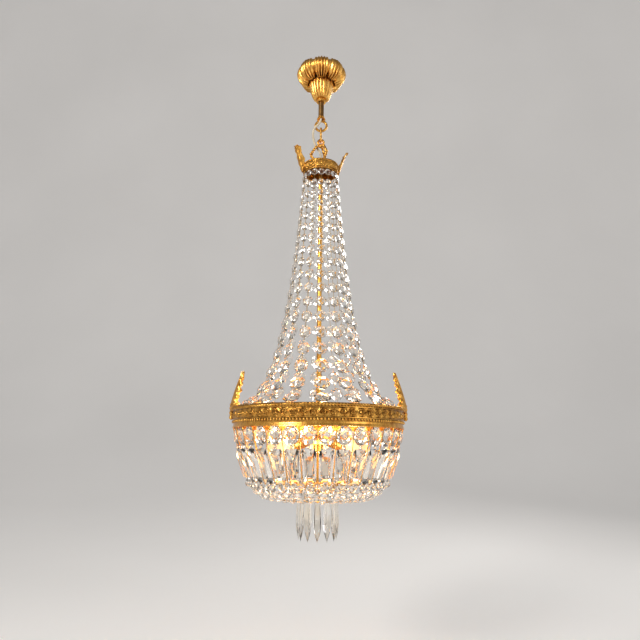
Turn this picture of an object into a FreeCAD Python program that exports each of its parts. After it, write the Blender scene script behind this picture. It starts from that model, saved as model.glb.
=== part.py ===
import FreeCAD, Part
import math
import os
import re

import Sketcher
from FreeCAD import Placement, Rotation, Vector

# A crystal basket chandelier, in millimetres. The origin is the middle of the ceiling bar's top
# face, +Z is up and the front of the object looks along -Y. Everything hangs below z = 0.

SIZES = [
    # Ceiling bar and what is fixed to it
    ("bar_long", 76, "ceiling bar, length"),
    ("bar_wide", 22, "ceiling bar, width"),
    ("bar_thick", 2.5, "ceiling bar, thickness"),
    ("screw_pitch", 60, "distance between the two ceiling screw holes"),
    ("screw_hole", 2.4, "ceiling screw hole, radius"),
    ("nipple_radius", 5, "threaded nipple, outer radius"),
    ("nipple_bore", 3.4, "threaded nipple, bore radius"),
    ("nipple_sunk", 0.3, "nipple top below the bar's top face"),
    ("thread_grip", 14, "length of nipple inside the stem"),
    ("nut_radius", 9, "locknut, corner radius"),
    ("nut_high", 6, "locknut, height"),
    ("block_long", 15, "terminal block, length"),
    ("block_wide", 20, "terminal block, width"),
    ("block_high", 13, "terminal block, height"),
    ("block_offset", 9.5, "terminal block, distance from the axis"),
    ("block_hole", 2.3, "terminal block, wire hole radius"),
    ("fit", 0.1, "clearance between seated pieces"),
    ("slide_gap", 0.3, "clearance of pieces that move on each other"),
    # Stem, ferrule and closed ring
    ("stem_long", 125, "stem tube, length"),
    ("stem_radius", 6.3, "stem tube, outer radius"),
    ("stem_bore", 4.2, "stem tube, bore radius"),
    ("ferrule_high", 7.4, "ferrule, height"),
    ("ferrule_radius", 10, "ferrule, radius at its mouth"),
    ("ferrule_neck", 7.8, "ferrule, radius at the stem"),
    ("pocket_share", 0.55, "depth of the ferrule's cable pocket, as a share of its height"),
    ("ring_eye", 10, "closed ring, radius of its eye"),
    ("ring_wire", 5.5, "closed ring, wire diameter"),
    # Canopy
    ("canopy_foot", 88, "canopy, depth of its foot below the ceiling"),
    ("canopy_waist", 58, "canopy, depth where the cup is fullest"),
    ("canopy_brim", 5, "canopy, depth of the rolled brim's top"),
    ("canopy_tip", 50, "canopy, depth of the curled leaf tips"),
    ("canopy_cup", 26.5, "canopy, radius of the cup"),
    ("canopy_roll", 56, "canopy, radius of the rolled brim"),
    ("canopy_leaf_tip", 32.5, "canopy, radius at the leaf tips"),
    ("canopy_thick", 1.8, "canopy, wall"),
    ("canopy_leaves", 8, "canopy, number of leaves"),
    ("canopy_notch", 8.5, "canopy, radius of the notch between two leaves"),
    ("collar_radius", 10.5, "canopy collar, outer radius"),
    ("collar_high", 7, "canopy collar, height"),
    ("grub_radius", 1.5, "grub screw, radius"),
    # Hanging link
    ("link_wire", 5, "link, wire diameter"),
    ("link_eye", 4, "link, inner radius of each end"),
    ("link_pitch", 33.4, "link, distance between the centres of its end wires"),
    # Yoke
    ("apex_wire", 5, "yoke eye, wire diameter"),
    ("apex_eye", 4, "yoke eye, inner radius"),
    ("knob_radius", 5.2, "yoke knob, radius"),
    ("knob_high", 7, "yoke knob, height"),
    ("arm_radius", 3, "yoke arm, radius"),
    ("arm_bulge", 22.5, "yoke arm, radius of the bulge from the axis"),
    ("arm_foot", 15, "yoke arm, radius of the foot from the axis"),
    # Cable
    ("cable_radius", 2.5, "cable, radius"),
    ("bushing_radius", 4.4, "cable bushing, radius of its flange"),
    ("bushing_lip", 1.6, "cable bushing, thickness of its flange"),
    # Crown
    ("crown_depth", 257, "depth of the crown hoop's top edge below the ceiling"),
    ("crown_high", 20, "crown hoop, height"),
    ("crown_radius", 39, "crown hoop, outer radius"),
    ("crown_wall", 2, "crown hoop, wall"),
    ("plate_rise", 5, "crown plate, rise of the dome"),
    ("plate_flat", 19, "crown plate, radius of its flat middle"),
    ("plate_thick", 2, "crown plate, thickness"),
    ("crown_leaf_wide", 22, "crown leaf, width"),
    ("crown_leaf_high", 59, "crown leaf, height"),
    ("crown_leaf_turn", 11, "crown leaves, azimuth of the right one, in degrees"),
    ("crown_leaf_fold", 14, "crown leaf, radius that it is folded to at its foot"),
    ("crown_leaf_reach", 23, "crown leaf, how far the tip stands out"),
    ("leaf_thick", 2, "leaves, thickness"),
    # Central rod
    ("rod_top_rise", 17, "rod, how far it stands above the crown hoop"),
    ("rod_radius", 4.8, "rod, outer radius"),
    ("rod_bore", 3, "rod, bore radius"),
    ("rod_nut_radius", 8.5, "rod nut, corner radius"),
    ("rod_nut_high", 6, "rod nut, height"),
    # Curtain of beads
    ("strands", 16, "number of bead strands"),
    ("strand_start", 3, "azimuth of the first strand past the front, in degrees"),
    ("strand_beads", 18, "beads on each strand"),
    ("bead_top", 14.5, "width of the highest bead"),
    ("bead_bottom", 31.5, "width of the lowest bead"),
    ("bead_plump", 0.36, "thickness of a bead over its width"),
    ("pin_radius", 0.7, "wire pin between beads, radius"),
    ("hoop_wire", 1.2, "wire ring that the strands hang from, wire radius"),
    ("curtain_drop", 529, "from the crown hoop's foot to the band's top"),
    # Lower band
    ("band_radius", 175, "lower band, outer radius"),
    ("band_wall", 2.5, "lower band, wall"),
    ("band_high", 42, "lower band, height"),
    ("rope_radius", 2.6, "rope moulding on the band's top edge, radius"),
    ("bead_line_radius", 1.8, "bead moulding low on the band, radius"),
    ("bead_line_rise", 12, "bead moulding, height above the band's foot"),
    ("rope_drop", 3, "rope moulding, depth below the band's top edge"),
    ("seam_screw_radius", 2.4, "seam screw, head radius"),
    ("seam_screw_high", 2.5, "seam screw, head height"),
    ("band_leaf_wide", 42, "band leaf, width"),
    ("band_leaf_high", 96, "band leaf, height"),
    ("band_leaf_lean", 22, "band leaf, how far the tip leans in"),
    ("band_leaf_fold", 26, "band leaf, radius that it is folded to at its foot"),
    ("band_leaf_stand", 2.4, "band leaf, how far it stands off the rope moulding"),
    ("boss_radius", 3.2, "bosses at the band leaf's foot, radius"),
    ("boss_reach", 9.5, "bosses at the band leaf's foot, how far they reach out of the band's radius"),
    ("spider_rise", 6, "spider arms, height above the band's foot"),
    ("spider_wide", 10, "spider arm, width"),
    ("spider_thick", 3, "spider arm, thickness"),
    ("spider_hub", 14, "spider hub, radius"),
    ("spider_hub_high", 12, "spider hub, height"),
    # Bowl of crystals
    ("bowl_count", 32, "crystals in each row of the bowl"),
    ("octagon_wide", 30.5, "octagon, width"),
    ("octagon_high", 33.5, "octagon, height"),
    ("octagon_thick", 11, "octagon, thickness"),
    ("octagon_inset", 5.5, "octagons, how far inside the band's radius they hang"),
    ("joint_bead", 7.2, "joint bead, width"),
    ("prism_high", 66, "coffin prism, height"),
    ("prism_top", 28, "coffin prism, width near its top"),
    ("prism_bottom", 23.5, "coffin prism, width at its foot"),
    ("prism_thick", 12, "coffin prism, thickness"),
    ("prism_shoulder", 15, "coffin prism, distance of the widest place from its top"),
    ("waist_inset", 11, "bowl, how far inside the band's radius the prisms begin"),
    ("strap_wire", 0.9, "gilt wires in the gaps between the bowl's crystals, radius"),
    ("foot_inset", 35, "bowl, how far inside the band's radius the wire hoop at the prisms' feet is"),
    ("bowl_wire", 1.6, "bowl hoops, wire radius"),
    ("festoon_bead", 15.6, "festoon bead, width"),
    ("festoon_sag", 29, "festoons, sag below their two ends"),
    ("fringe_bead", 11, "fringe beads outside the bowl's wire hoop, width"),
    ("fringe_reach", 3.9, "fringe beads, how far outside the hoop's middle they hang"),
    ("festoon_outer", 4, "beads from the bowl hoop to the lowest hoop"),
    ("festoon_gap", 0.1, "least gap between festoon beads, which sets how many reach the bottom plate"),
    # Lamps
    ("hub_radius", 12, "lamp hub, radius"),
    ("hub_high", 24, "lamp hub, height"),
    ("lamp_count", 3, "number of lamps"),
    ("lamp_tilt", 20, "lamps point this many degrees below level"),
    ("holder_start", 27, "lampholder, distance of its inner end from the axis"),
    ("holder_radius", 13.5, "lampholder, radius"),
    ("holder_long", 37, "lampholder, length"),
    ("holder_wall", 8, "lampholder, thickness of its closed end"),
    ("holder_bore", 7.5, "lampholder, bore radius"),
    ("stub_radius", 4, "lamp hub's arms, radius"),
    ("cap_radius", 7, "bulb cap, radius"),
    ("cap_long", 25, "bulb cap, length inside the holder"),
    ("globe_radius", 22.5, "bulb globe, radius"),
    ("globe_reach", 32, "bulb, from the holder's mouth to the globe's centre"),
    # Bottom plate and icicles
    ("bottom_drop", 110, "from the band's foot to the bottom plate's top"),
    ("bottom_plate_radius", 48, "bottom plate, radius"),
    ("bottom_plate_thick", 3, "bottom plate, thickness"),
    ("icicles", 12, "number of icicles"),
    ("icicle_ring_radius", 37.5, "icicle ring, radius"),
    ("icicle_ring_wire", 1.2, "icicle ring, wire radius"),
    ("icicle_ring_drop", 5, "icicle ring, depth below the bottom plate"),
    ("icicle_posts", 4, "posts that hold the icicle ring"),
    ("icicle_post", 0.8, "icicle ring post, radius"),
    ("icicle_long", 96, "icicle crystal, length"),
    ("icicle_wide", 15.5, "icicle crystal, width"),
    ("icicle_thick", 10.5, "icicle crystal, thickness"),
    ("icicle_widest", 64, "icicle crystal, distance of the widest place from its top"),
    ("eye_wire", 0.6, "icicle eye, wire radius"),
    ("finial_radius", 9, "bottom finial, radius"),
    ("finial_high", 16, "bottom finial, height"),
]

doc = FreeCAD.newDocument("Chandelier")
sheet = doc.addObject("Spreadsheet::Sheet", "Sizes")
NODES = []


def fill_sheet():
    for row, (alias, number, note) in enumerate(SIZES, 1):
        sheet.set(f"A{row}", note)
        sheet.set(f"B{row}", str(number))
        sheet.setAlias(f"B{row}", alias)
    doc.recompute()


# ---------------------------------------------------------------- expressions and heights

def in_sheet(text):
    """An expression written in plain size names, as the document reads it."""
    return re.sub(r"\b([a-z]\w*)\b(?!\()", r"Sizes.\1", text)


def size(text):
    """The value of such an expression, as a number."""
    return float(sheet.evalExpression(in_sheet(text)))


BAR_UNDER = "(0 - bar_thick)"
NUT_UNDER = f"({BAR_UNDER} - fit - nut_high)"
STEM_TOP = f"({NUT_UNDER} - fit)"
STEM_FOOT = f"({STEM_TOP} - stem_long)"
FERRULE_FOOT = f"({STEM_FOOT} - ferrule_high)"
RING_CENTRE = f"({FERRULE_FOOT} - fit - ring_wire - ring_eye)"
RING_LOW_WIRE = f"({RING_CENTRE} - ring_eye - ring_wire / 2)"
LINK_TOP_WIRE = f"({RING_LOW_WIRE} + (ring_wire + link_wire) / 2 + slide_gap)"
LINK_LOW_WIRE = f"({LINK_TOP_WIRE} - link_pitch)"
CABLE_WAY = "(ring_wire / 2 + cable_radius + slide_gap)"
APEX_CENTRE = f"({LINK_LOW_WIRE} + (link_wire + apex_wire) / 2 + slide_gap - apex_eye - apex_wire / 2)"
KNOB_TOP = f"({APEX_CENTRE} - apex_eye - apex_wire / 2)"
KNOB_FOOT = f"({KNOB_TOP} - knob_high)"
CANOPY_FOOT = "(0 - canopy_foot)"
CROWN_TOP = "(0 - crown_depth)"
CROWN_FOOT = f"({CROWN_TOP} - crown_high)"
PLATE_TOP = f"({CROWN_TOP} + plate_rise)"
ROD_TOP = f"({CROWN_TOP} + rod_top_rise)"
STRAND_RING_RADIUS = "(crown_radius - crown_wall * 0.7)"
STRAND_RING = f"({CROWN_FOOT} - fit - hoop_wire)"
BAND_TOP = f"({CROWN_FOOT} - curtain_drop)"
BAND_FOOT = f"({BAND_TOP} - band_high)"
SPIDER_LOW = f"({BAND_FOOT} + spider_rise)"
SPIDER_FOOT = f"({SPIDER_LOW} - spider_hub_high / 2)"
HUB_TOP = f"({SPIDER_FOOT} - fit)"
HUB_FOOT = f"({HUB_TOP} - hub_high)"
LAMP_LEVEL = f"({HUB_TOP} - hub_high / 2)"
BOWL_FOOT = "(band_radius - foot_inset)"
JOINT_BEADS = f"({BAND_FOOT} - fit - octagon_high - fit)"
PRISM_TOP = f"({JOINT_BEADS} - joint_bead - fit)"
BOTTOM_TOP = f"({BAND_FOOT} - bottom_drop)"
BOTTOM_UNDER = f"({BOTTOM_TOP} - bottom_plate_thick)"
ICICLE_WIRE = f"({BOTTOM_UNDER} - icicle_ring_drop)"


# ---------------------------------------------------------------- bound primitives

def bind(thing, **properties):
    for name, text in properties.items():
        thing.setExpression(name.replace("__", "."), in_sheet(text))
    return thing


def cylinder(name, radius, low, high, x="0", y="0"):
    thing = doc.addObject("Part::Cylinder", name)
    bind(thing, Radius=radius, Height=f"{high} - {low}", Placement__Base__z=low)
    return bind(thing, Placement__Base__x=x, Placement__Base__y=y)


def cone(name, foot_radius, top_radius, low, high):
    thing = doc.addObject("Part::Cone", name)
    bind(thing, Radius1=foot_radius, Radius2=top_radius)
    return bind(thing, Height=f"{high} - {low}", Placement__Base__z=low)


def torus(name, major, minor, level, upright=False):
    """A ring, level or upright in the XZ plane."""
    thing = doc.addObject("Part::Torus", name)
    if upright:
        thing.Placement = Placement(Vector(), Rotation(Vector(1, 0, 0), 90))
    return bind(thing, Radius1=major, Radius2=minor, Placement__Base__z=level)


def hexagon(name, corner_radius, low, high):
    thing = doc.addObject("Part::Prism", name)
    thing.Polygon = 6
    return bind(thing, Circumradius=corner_radius, Height=f"{high} - {low}", Placement__Base__z=low)


def box(name, long, wide, low, high, x="0"):
    thing = doc.addObject("Part::Box", name)
    bind(thing, Length=long, Width=wide, Height=f"{high} - {low}", Placement__Base__z=low)
    return bind(thing, Placement__Base__x=f"{x} - {long} / 2", Placement__Base__y=f"0 - {wide} / 2")


def cut(name, base, *tools):
    for count, tool in enumerate(tools):
        result = doc.addObject("Part::Cut", name if count == len(tools) - 1 else f"{name}_cut{count}")
        result.Base = base
        result.Tool = tool
        base = result
    return base


def fuse(name, *pieces):
    result = doc.addObject("Part::MultiFuse", name)
    result.Shapes = list(pieces)
    return result


def tube(name, outer, bore, low, high):
    outside = cylinder(f"{name}_outside", outer, low, high)
    inside = cylinder(f"{name}_bore", bore, f"({low} - 1)", f"({high} + 1)")
    return cut(name, outside, inside)


def node(label, thing):
    thing.Label = label
    NODES.append(thing)
    return thing


def shape_node(label, shape, placement=None):
    thing = doc.addObject("Part::Feature", label)
    thing.Shape = shape
    if placement:
        thing.Placement = placement
    return node(label, thing)


# ---------------------------------------------------------------- shapes from points

def about_z(degrees):
    return Rotation(Vector(0, 0, 1), degrees)


def around(shape, degrees):
    turned = shape.copy()
    turned.rotate(Vector(), Vector(0, 0, 1), degrees)
    return turned


def rounded_path(points, share=0.45, label=None):
    """Straight runs joined by tangent arcs, each as large as its two runs allow."""
    edges = []
    radii = []
    start = points[0]
    for before, corner, after in zip(points, points[1:], points[2:]):
        inward = (before - corner).normalize()
        outward = (after - corner).normalize()
        half_turn = (math.pi - inward.getAngle(outward)) / 2
        reach = share * min((before - corner).Length, (after - corner).Length)
        radius = reach / math.tan(half_turn)
        arc_start = corner + inward * reach
        arc_end = corner + outward * reach
        middle = (inward + outward).normalize()
        arc_middle = corner + middle * (radius / math.cos(half_turn) - radius)
        edges.append(Part.LineSegment(start, arc_start).toShape())
        edges.append(Part.Arc(arc_start, arc_middle, arc_end).toShape())
        radii.append(radius)
        start = arc_end
    edges.append(Part.LineSegment(start, points[-1]).toShape())
    if label:
        print(label, "radii", [round(radius, 1) for radius in radii])
    return Part.Wire(edges)


def swept_tube(points, radius, label=None):
    path = rounded_path(points, label=label)
    section = Part.Wire(Part.makeCircle(radius, points[0], points[1] - points[0]))
    solid = path.makePipeShell([section], True, False)
    expected = path.Length * math.pi * radius ** 2
    if label:
        print(label, "length", round(path.Length, 1), "volume share", round(solid.Volume / expected, 4))
    return solid


def bent_sheet(points, thickness):
    """A sheet of even thickness inside a smooth spine of (radius, height) points, as a face in XZ."""
    spine = Part.BSplineCurve()
    spine.interpolate([Vector(radius, 0, height) for radius, height in points])
    steps = 4 * len(points)
    inside = []
    for step in range(steps + 1):
        where = spine.FirstParameter + (spine.LastParameter - spine.FirstParameter) * step / steps
        along = spine.tangent(where)[0]
        inside.append(spine.value(where) + Vector(0, -1, 0).cross(along) * thickness)
    inner = Part.BSplineCurve()
    inner.interpolate(inside)
    edges = [spine.toShape(), Part.makeLine(spine.EndPoint, inner.EndPoint), inner.toShape()]
    edges.append(Part.makeLine(inner.StartPoint, spine.StartPoint))
    return Part.Face(Part.Wire(Part.sortEdges(edges)[0]))


def crystal(sections):
    """A closed faceted solid through sections that have as many corners each; an end may be a point."""
    faces = []
    for ring in (sections[0], sections[-1]):
        if len(ring) > 1:
            faces.append(Part.Face(Part.makePolygon(ring + ring[:1])))
    for low, high in zip(sections, sections[1:]):
        count = max(len(low), len(high))
        for this in range(count):
            following = (this + 1) % count
            if len(high) == 1:
                corners = [low[this], low[following], high[0]]
            elif len(low) == 1:
                corners = [low[0], high[following], high[this]]
            else:
                corners = [low[this], low[following], high[following], high[this]]
            faces.append(Part.Face(Part.makePolygon(corners + corners[:1])))
    solid = Part.Solid(Part.Shell(faces))
    if solid.Volume < 0:
        solid.reverse()
    return solid


def octagon(wide, tall, corner_share=0.29):
    """Corners of an upright octagon in the XY plane, with corners cut by a share of the smaller size."""
    across, up = wide / 2, tall / 2
    corner = corner_share * min(wide, tall)
    quarter = [(across, up - corner), (across - corner, up)]
    corners = quarter + [(-x, y) for x, y in reversed(quarter)]
    return corners + [(-x, -y) for x, y in corners]


def cut_plate(outline, thick, table):
    """A plate crystal: an outline that slopes to a smaller table on its back and its front."""
    sections = []
    for share, level in ((table, -thick / 2), (1, 0), (table, thick / 2)):
        sections.append([Vector(x * share, y * share, level) for x, y in outline])
    return crystal(sections)


def set_on(centre, along, outward):
    """A placement with local Y along the strand and local Z facing outward."""
    along = Vector(along).normalize()
    across = along.cross(outward).normalize()
    facing = across.cross(along)
    return Placement(centre, Rotation(across, along, facing, "ZXY"))


def placed(shape, placement):
    moved = shape.copy()
    moved.Placement = placement
    return moved


def leaf(spine, wide, fold):
    """A leaf at azimuth 0: a bent sheet turned about its own upright line, trimmed to a lobed outline."""
    foot = spine[0][0] - fold
    low = min(level for radius, level in spine)
    high = max(level for radius, level in spine) + size("leaf_thick") - low
    spread = 84
    local = [(radius - foot, level) for radius, level in spine]
    sector = bent_sheet(local, size("leaf_thick")).revolve(Vector(), Vector(0, 0, 1), 2 * spread)
    sector = around(sector, -spread)
    sector.translate(Vector(foot, 0, 0))
    lobes = 3
    steps = 18
    side = []
    for step in range(steps + 1):
        share = step / steps
        fullness = math.sin(math.pi * (0.2 + 0.76 * share)) ** 0.7
        rising = min(1, share / 0.5)
        hips = 0.35 + 0.65 * rising * rising * (3 - 2 * rising)
        ripple = 1 - 0.16 * (0.5 - 0.5 * math.cos(2 * math.pi * lobes * share))
        side.append((wide / 2 * fullness * hips * ripple, low + high * share))
    outline = [Vector(foot, y, z) for y, z in side] + [Vector(foot, -y, z) for y, z in reversed(side)]
    prism = Part.Face(Part.makePolygon(outline + outline[:1])).extrude(Vector(size("band_radius"), 0, 0))
    return sector.common(prism)


# ---------------------------------------------------------------- ceiling fixing

def ceiling_bar():
    """A steel strip with a tapped hole on the axis and two screw holes."""
    body = doc.addObject("PartDesign::Body", "ceiling_bar")
    sketch = body.newObject("Sketcher::SketchObject", "ceiling_bar_outline")
    plane = next(item for item in body.Origin.OriginFeatures if item.Role == "XY_Plane")
    sketch.AttachmentSupport = [(plane, "")]
    sketch.MapMode = "FlatFace"
    half_long, half_wide = size("bar_long") / 2, size("bar_wide") / 2
    corners = [(-half_long, -half_wide), (half_long, -half_wide)]
    corners += [(half_long, half_wide), (-half_long, half_wide)]
    for start, end in zip(corners, corners[1:] + corners[:1]):
        sketch.addGeometry(Part.LineSegment(Vector(*start, 0), Vector(*end, 0)), False)
    for side in range(4):
        sketch.addConstraint(Sketcher.Constraint("Coincident", side, 2, (side + 1) % 4, 1))
    for side, direction in enumerate(("Horizontal", "Vertical", "Horizontal", "Vertical")):
        sketch.addConstraint(Sketcher.Constraint(direction, side))
    sketch.addConstraint(Sketcher.Constraint("Symmetric", 0, 1, 2, 1, -1, 1))
    rules = [(Sketcher.Constraint("DistanceX", 0, 1, 0, 2, size("bar_long")), "bar_long")]
    rules.append((Sketcher.Constraint("DistanceY", 1, 1, 1, 2, size("bar_wide")), "bar_wide"))
    holes = [(0, "nipple_radius + fit"), (-1, "screw_hole"), (1, "screw_hole")]
    for side, radius in holes:
        centre = Vector(side * size("screw_pitch") / 2, 0, 0)
        hole = sketch.addGeometry(Part.Circle(centre, Vector(0, 0, 1), size(radius)), False)
        rules.append((Sketcher.Constraint("Radius", hole, size(radius)), radius))
        if side:
            sketch.addConstraint(Sketcher.Constraint("PointOnObject", hole, 3, -1))
            offset = Sketcher.Constraint("DistanceX", -1, 1, hole, 3, centre.x)
            rules.append((offset, f"{side} * screw_pitch / 2"))
        else:
            sketch.addConstraint(Sketcher.Constraint("Coincident", hole, 3, -1, 1))
    for rule, text in rules:
        index = sketch.addConstraint(rule)
        sketch.setExpression(f"Constraints[{index}]", in_sheet(text))
    pad = body.newObject("PartDesign::Pad", "ceiling_bar_plate")
    pad.Profile = sketch
    pad.Reversed = True
    bind(pad, Length="bar_thick")
    node("ceiling_bar", body)


def ceiling_fixing():
    ceiling_bar()
    nipple_foot = f"({STEM_TOP} - thread_grip)"
    node("threaded_nipple", tube("nipple", "nipple_radius", "nipple_bore", nipple_foot, "(0 - nipple_sunk)"))
    nut = hexagon("nipple_nut_hexagon", "nut_radius", NUT_UNDER, f"({BAR_UNDER} - fit)")
    nut_bore = cylinder("nipple_nut_bore", "nipple_radius + fit", f"({NUT_UNDER} - 1)", "0")
    node("nipple_locknut", cut("nipple_nut", nut, nut_bore))
    block = box("block_body", "block_long", "block_wide", f"({BAR_UNDER} - fit - block_high)",
                f"({BAR_UNDER} - fit)", x="block_offset + block_long / 2")
    holes = []
    for side in (-1, 1):
        hole = cylinder(f"block_hole{side + 1}", "block_hole", f"({BAR_UNDER} - 2 * block_high)",
                        f"({BAR_UNDER} - block_high / 3)", x="block_offset + block_long / 2",
                        y=f"{side} * block_wide / 4")
        holes.append(hole)
    node("terminal_block", cut("terminal_block", block, *holes))


def stem():
    outside = cylinder("stem_outside", "stem_radius", STEM_FOOT, STEM_TOP)
    bore = cylinder("stem_wireway", "stem_bore", f"({STEM_FOOT} - 1)", STEM_TOP)
    socket_foot = f"({STEM_TOP} - thread_grip - fit)"
    socket = cylinder("stem_socket", "nipple_radius + fit", socket_foot, f"({STEM_TOP} + 1)")
    node("stem_tube", cut("stem_tube", outside, bore, socket))
    flare = cone("ferrule_flare", "ferrule_radius", "ferrule_neck", FERRULE_FOOT, f"({STEM_FOOT} - fit)")
    wireway = cylinder("ferrule_wireway", "cable_radius + fit", f"({FERRULE_FOOT} - 1)",
                       f"({FERRULE_FOOT} + ferrule_high * pocket_share)", y=f"0 - {CABLE_WAY}")
    node("stem_ferrule", cut("stem_ferrule", flare, wireway))
    ring = torus("suspension_ring", "ring_eye + ring_wire / 2", "ring_wire / 2", RING_CENTRE, True)
    node("suspension_ring", ring)


# ---------------------------------------------------------------- canopy

def canopy():
    """A cup whose wall rises into a brim that rolls out and hangs down as leaves."""
    collar_seat = "collar_radius - 2"
    points = [
        (size(collar_seat), size("0 - canopy_foot")),
        (size("canopy_cup * 0.66"), size("0 - canopy_foot + 3")),
        (size("canopy_cup"), size("0 - canopy_waist")),
        (size("canopy_cup * 1.02"), size("0 - canopy_waist * 0.55")),
        (size("canopy_cup + (canopy_roll - canopy_cup) * 0.42"), size("0 - canopy_brim")),
        (size("canopy_roll - canopy_thick * 2"), size("0 - canopy_brim - 4.5")),
        (size("canopy_roll"), size("0 - canopy_brim - 15")),
        (size("canopy_roll - canopy_thick * 2.4"), size("0 - canopy_tip * 0.72")),
        (size("(canopy_roll + canopy_leaf_tip) / 2"), size("0 - canopy_tip * 0.93")),
        (size("canopy_leaf_tip"), size("0 - canopy_tip")),
    ]
    shell = bent_sheet(points, size("canopy_thick")).revolve(Vector(), Vector(0, 0, 1), 360)
    if shell.Volume < 0:
        shell.reverse()
    leaves = int(size("canopy_leaves"))
    notch_level = size("0 - canopy_tip")
    notch_start = size("canopy_cup + canopy_thick * 1.2")
    for count in range(leaves):
        start = Vector(notch_start, 0, notch_level)
        notch = Part.makeCylinder(size("canopy_notch"), size("canopy_roll"), start, Vector(1, 0, 0))
        shell = shell.cut(around(notch, 360 / leaves * (count + 0.5)))
    shape_node("canopy", shell.Solids[0])


def canopy_collar():
    seat = f"({CANOPY_FOOT} - canopy_thick / 2 - fit)"
    low = f"({seat} - collar_high)"
    ring = tube("collar_ring", "collar_radius", "stem_radius + slide_gap", low, seat)
    middle = f"({seat} - collar_high / 2)"
    drill = doc.addObject("Part::Cylinder", "collar_drill")
    drill.Placement = Placement(Vector(), Rotation(Vector(0, 1, 0), 90))
    bind(drill, Radius="grub_radius + fit / 2", Height="2 * collar_radius", Placement__Base__z=middle)
    node("canopy_collar", cut("canopy_collar", ring, drill))
    grub = doc.addObject("Part::Cylinder", "collar_screw")
    grub.Placement = Placement(Vector(), Rotation(Vector(0, 1, 0), 90))
    grub_long = "collar_radius - stem_radius - slide_gap"
    bind(grub, Radius="grub_radius", Height=grub_long, Placement__Base__z=middle,
         Placement__Base__x="stem_radius + slide_gap")
    node("collar_screw", grub)


# ---------------------------------------------------------------- link and yoke

def hanging_link():
    """A closed link in the YZ plane: two half rounds joined by straight sides."""
    reach = size("link_eye + link_wire / 2")
    top = size(LINK_TOP_WIRE) - reach
    low = size(LINK_LOW_WIRE) + reach
    upper = Part.Arc(Vector(0, reach, top), Vector(0, 0, top + reach), Vector(0, -reach, top))
    lower = Part.Arc(Vector(0, -reach, low), Vector(0, 0, low - reach), Vector(0, reach, low))
    front = Part.LineSegment(Vector(0, -reach, top), Vector(0, -reach, low))
    back = Part.LineSegment(Vector(0, reach, low), Vector(0, reach, top))
    path = Part.Wire([edge.toShape() for edge in (upper, front, lower, back)])
    section = Part.Wire(Part.makeCircle(size("link_wire / 2"), Vector(0, reach, top), Vector(0, 0, 1)))
    shape_node("hanging_link", path.makePipeShell([section], True, False))


def yoke():
    eye = torus("yoke_eye", "apex_eye + apex_wire / 2", "apex_wire / 2", APEX_CENTRE, True)
    knob = cylinder("yoke_knob", "knob_radius", KNOB_FOOT, f"({KNOB_TOP} + apex_wire / 3)")
    node("yoke_apex", fuse("yoke_apex", eye, knob))
    shoulder = size(f"({KNOB_TOP} + {KNOB_FOOT}) / 2")
    foot = size(f"{PLATE_TOP} + fit")
    bulge = size("arm_bulge")
    ankle = size("arm_foot")
    drop = shoulder - foot
    points = [
        Vector(size("knob_radius + slide_gap"), 0, shoulder),
        Vector(0.55 * bulge, 0, shoulder),
        Vector(bulge, 0, shoulder - 0.46 * drop),
        Vector(bulge, 0, shoulder - 0.62 * drop),
        Vector(ankle, 0, shoulder - 0.80 * drop),
        Vector(ankle, 0, foot),
    ]
    arm = swept_tube(points, size("arm_radius"))
    for label, azimuth in (("left", 185), ("front", -55), ("back", 65)):
        shape_node(f"yoke_arm_{label}", around(arm, azimuth))


# ---------------------------------------------------------------- cable

def cable():
    """The loose cable from the ferrule to the rod, in two lengths that meet beside the link."""
    way = -size(CABLE_WAY)
    mouth = size(f"{FERRULE_FOOT} + ferrule_high * pocket_share") - size("fit")
    end = size(f"{ROD_TOP} + 2 * fit + bushing_lip")
    meeting = Vector(-17.1, 0.6, mouth - 52.2)
    upper = [
        Vector(0, way, mouth),
        Vector(0, way, mouth - 14),
        Vector(-21.5, -6, mouth - 33.5),
        meeting,
    ]
    lower = [
        meeting,
        Vector(-13.1, 6.6, mouth - 69.2),
        Vector(-2.5, 7, end + 21.5),
        Vector(0, 0, end + 9.2),
        Vector(0, 0, end),
    ]
    shape_node("cable_upper", swept_tube(upper, size("cable_radius"), "cable_upper"))
    shape_node("cable_lower", swept_tube(lower, size("cable_radius"), "cable_lower"))


def rod_cable():
    """The rest of the cable, straight down the rod's bore to the lamp hub."""
    node("rod_cable", cylinder("rod_cable", "cable_radius", HUB_TOP, f"({ROD_TOP} - 0.1)"))


# ---------------------------------------------------------------- crown and rod

def crown():
    dome = cone("plate_outside", "crown_radius", "plate_flat", CROWN_TOP, PLATE_TOP)
    hollow = cone("plate_inside", "crown_radius", "plate_flat", f"({CROWN_TOP} - plate_thick)",
                  f"({PLATE_TOP} - plate_thick)")
    hole = cylinder("plate_hole", "rod_radius + fit", CROWN_FOOT, f"({PLATE_TOP} + 1)")
    plate = cut("crown_plate", dome, hollow, hole)
    node("crown_plate", plate)
    node("crown_hoop", tube("crown_hoop", "crown_radius", "crown_radius - crown_wall", CROWN_FOOT,
                            f"({CROWN_TOP} - fit)"))
    low = size(CROWN_FOOT)
    high = size("crown_leaf_high")
    base = size("crown_radius + leaf_thick + fit")
    reach = size("crown_leaf_reach")
    spine = [
        (base, low),
        (base + 0.08 * reach, low + 0.14 * high),
        (base + 0.40 * reach, low + 0.50 * high),
        (base + 0.76 * reach, low + 0.88 * high),
        (base + 0.92 * reach, low + 0.96 * high),
        (base + reach, low + 0.92 * high),
    ]
    blade = leaf(spine, size("crown_leaf_wide"), size("crown_leaf_fold"))
    turn = size("crown_leaf_turn")
    pair = [around(blade, turn), around(blade, turn + 180)]
    shape_node("crown_leaves", Part.makeCompound(pair))


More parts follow.
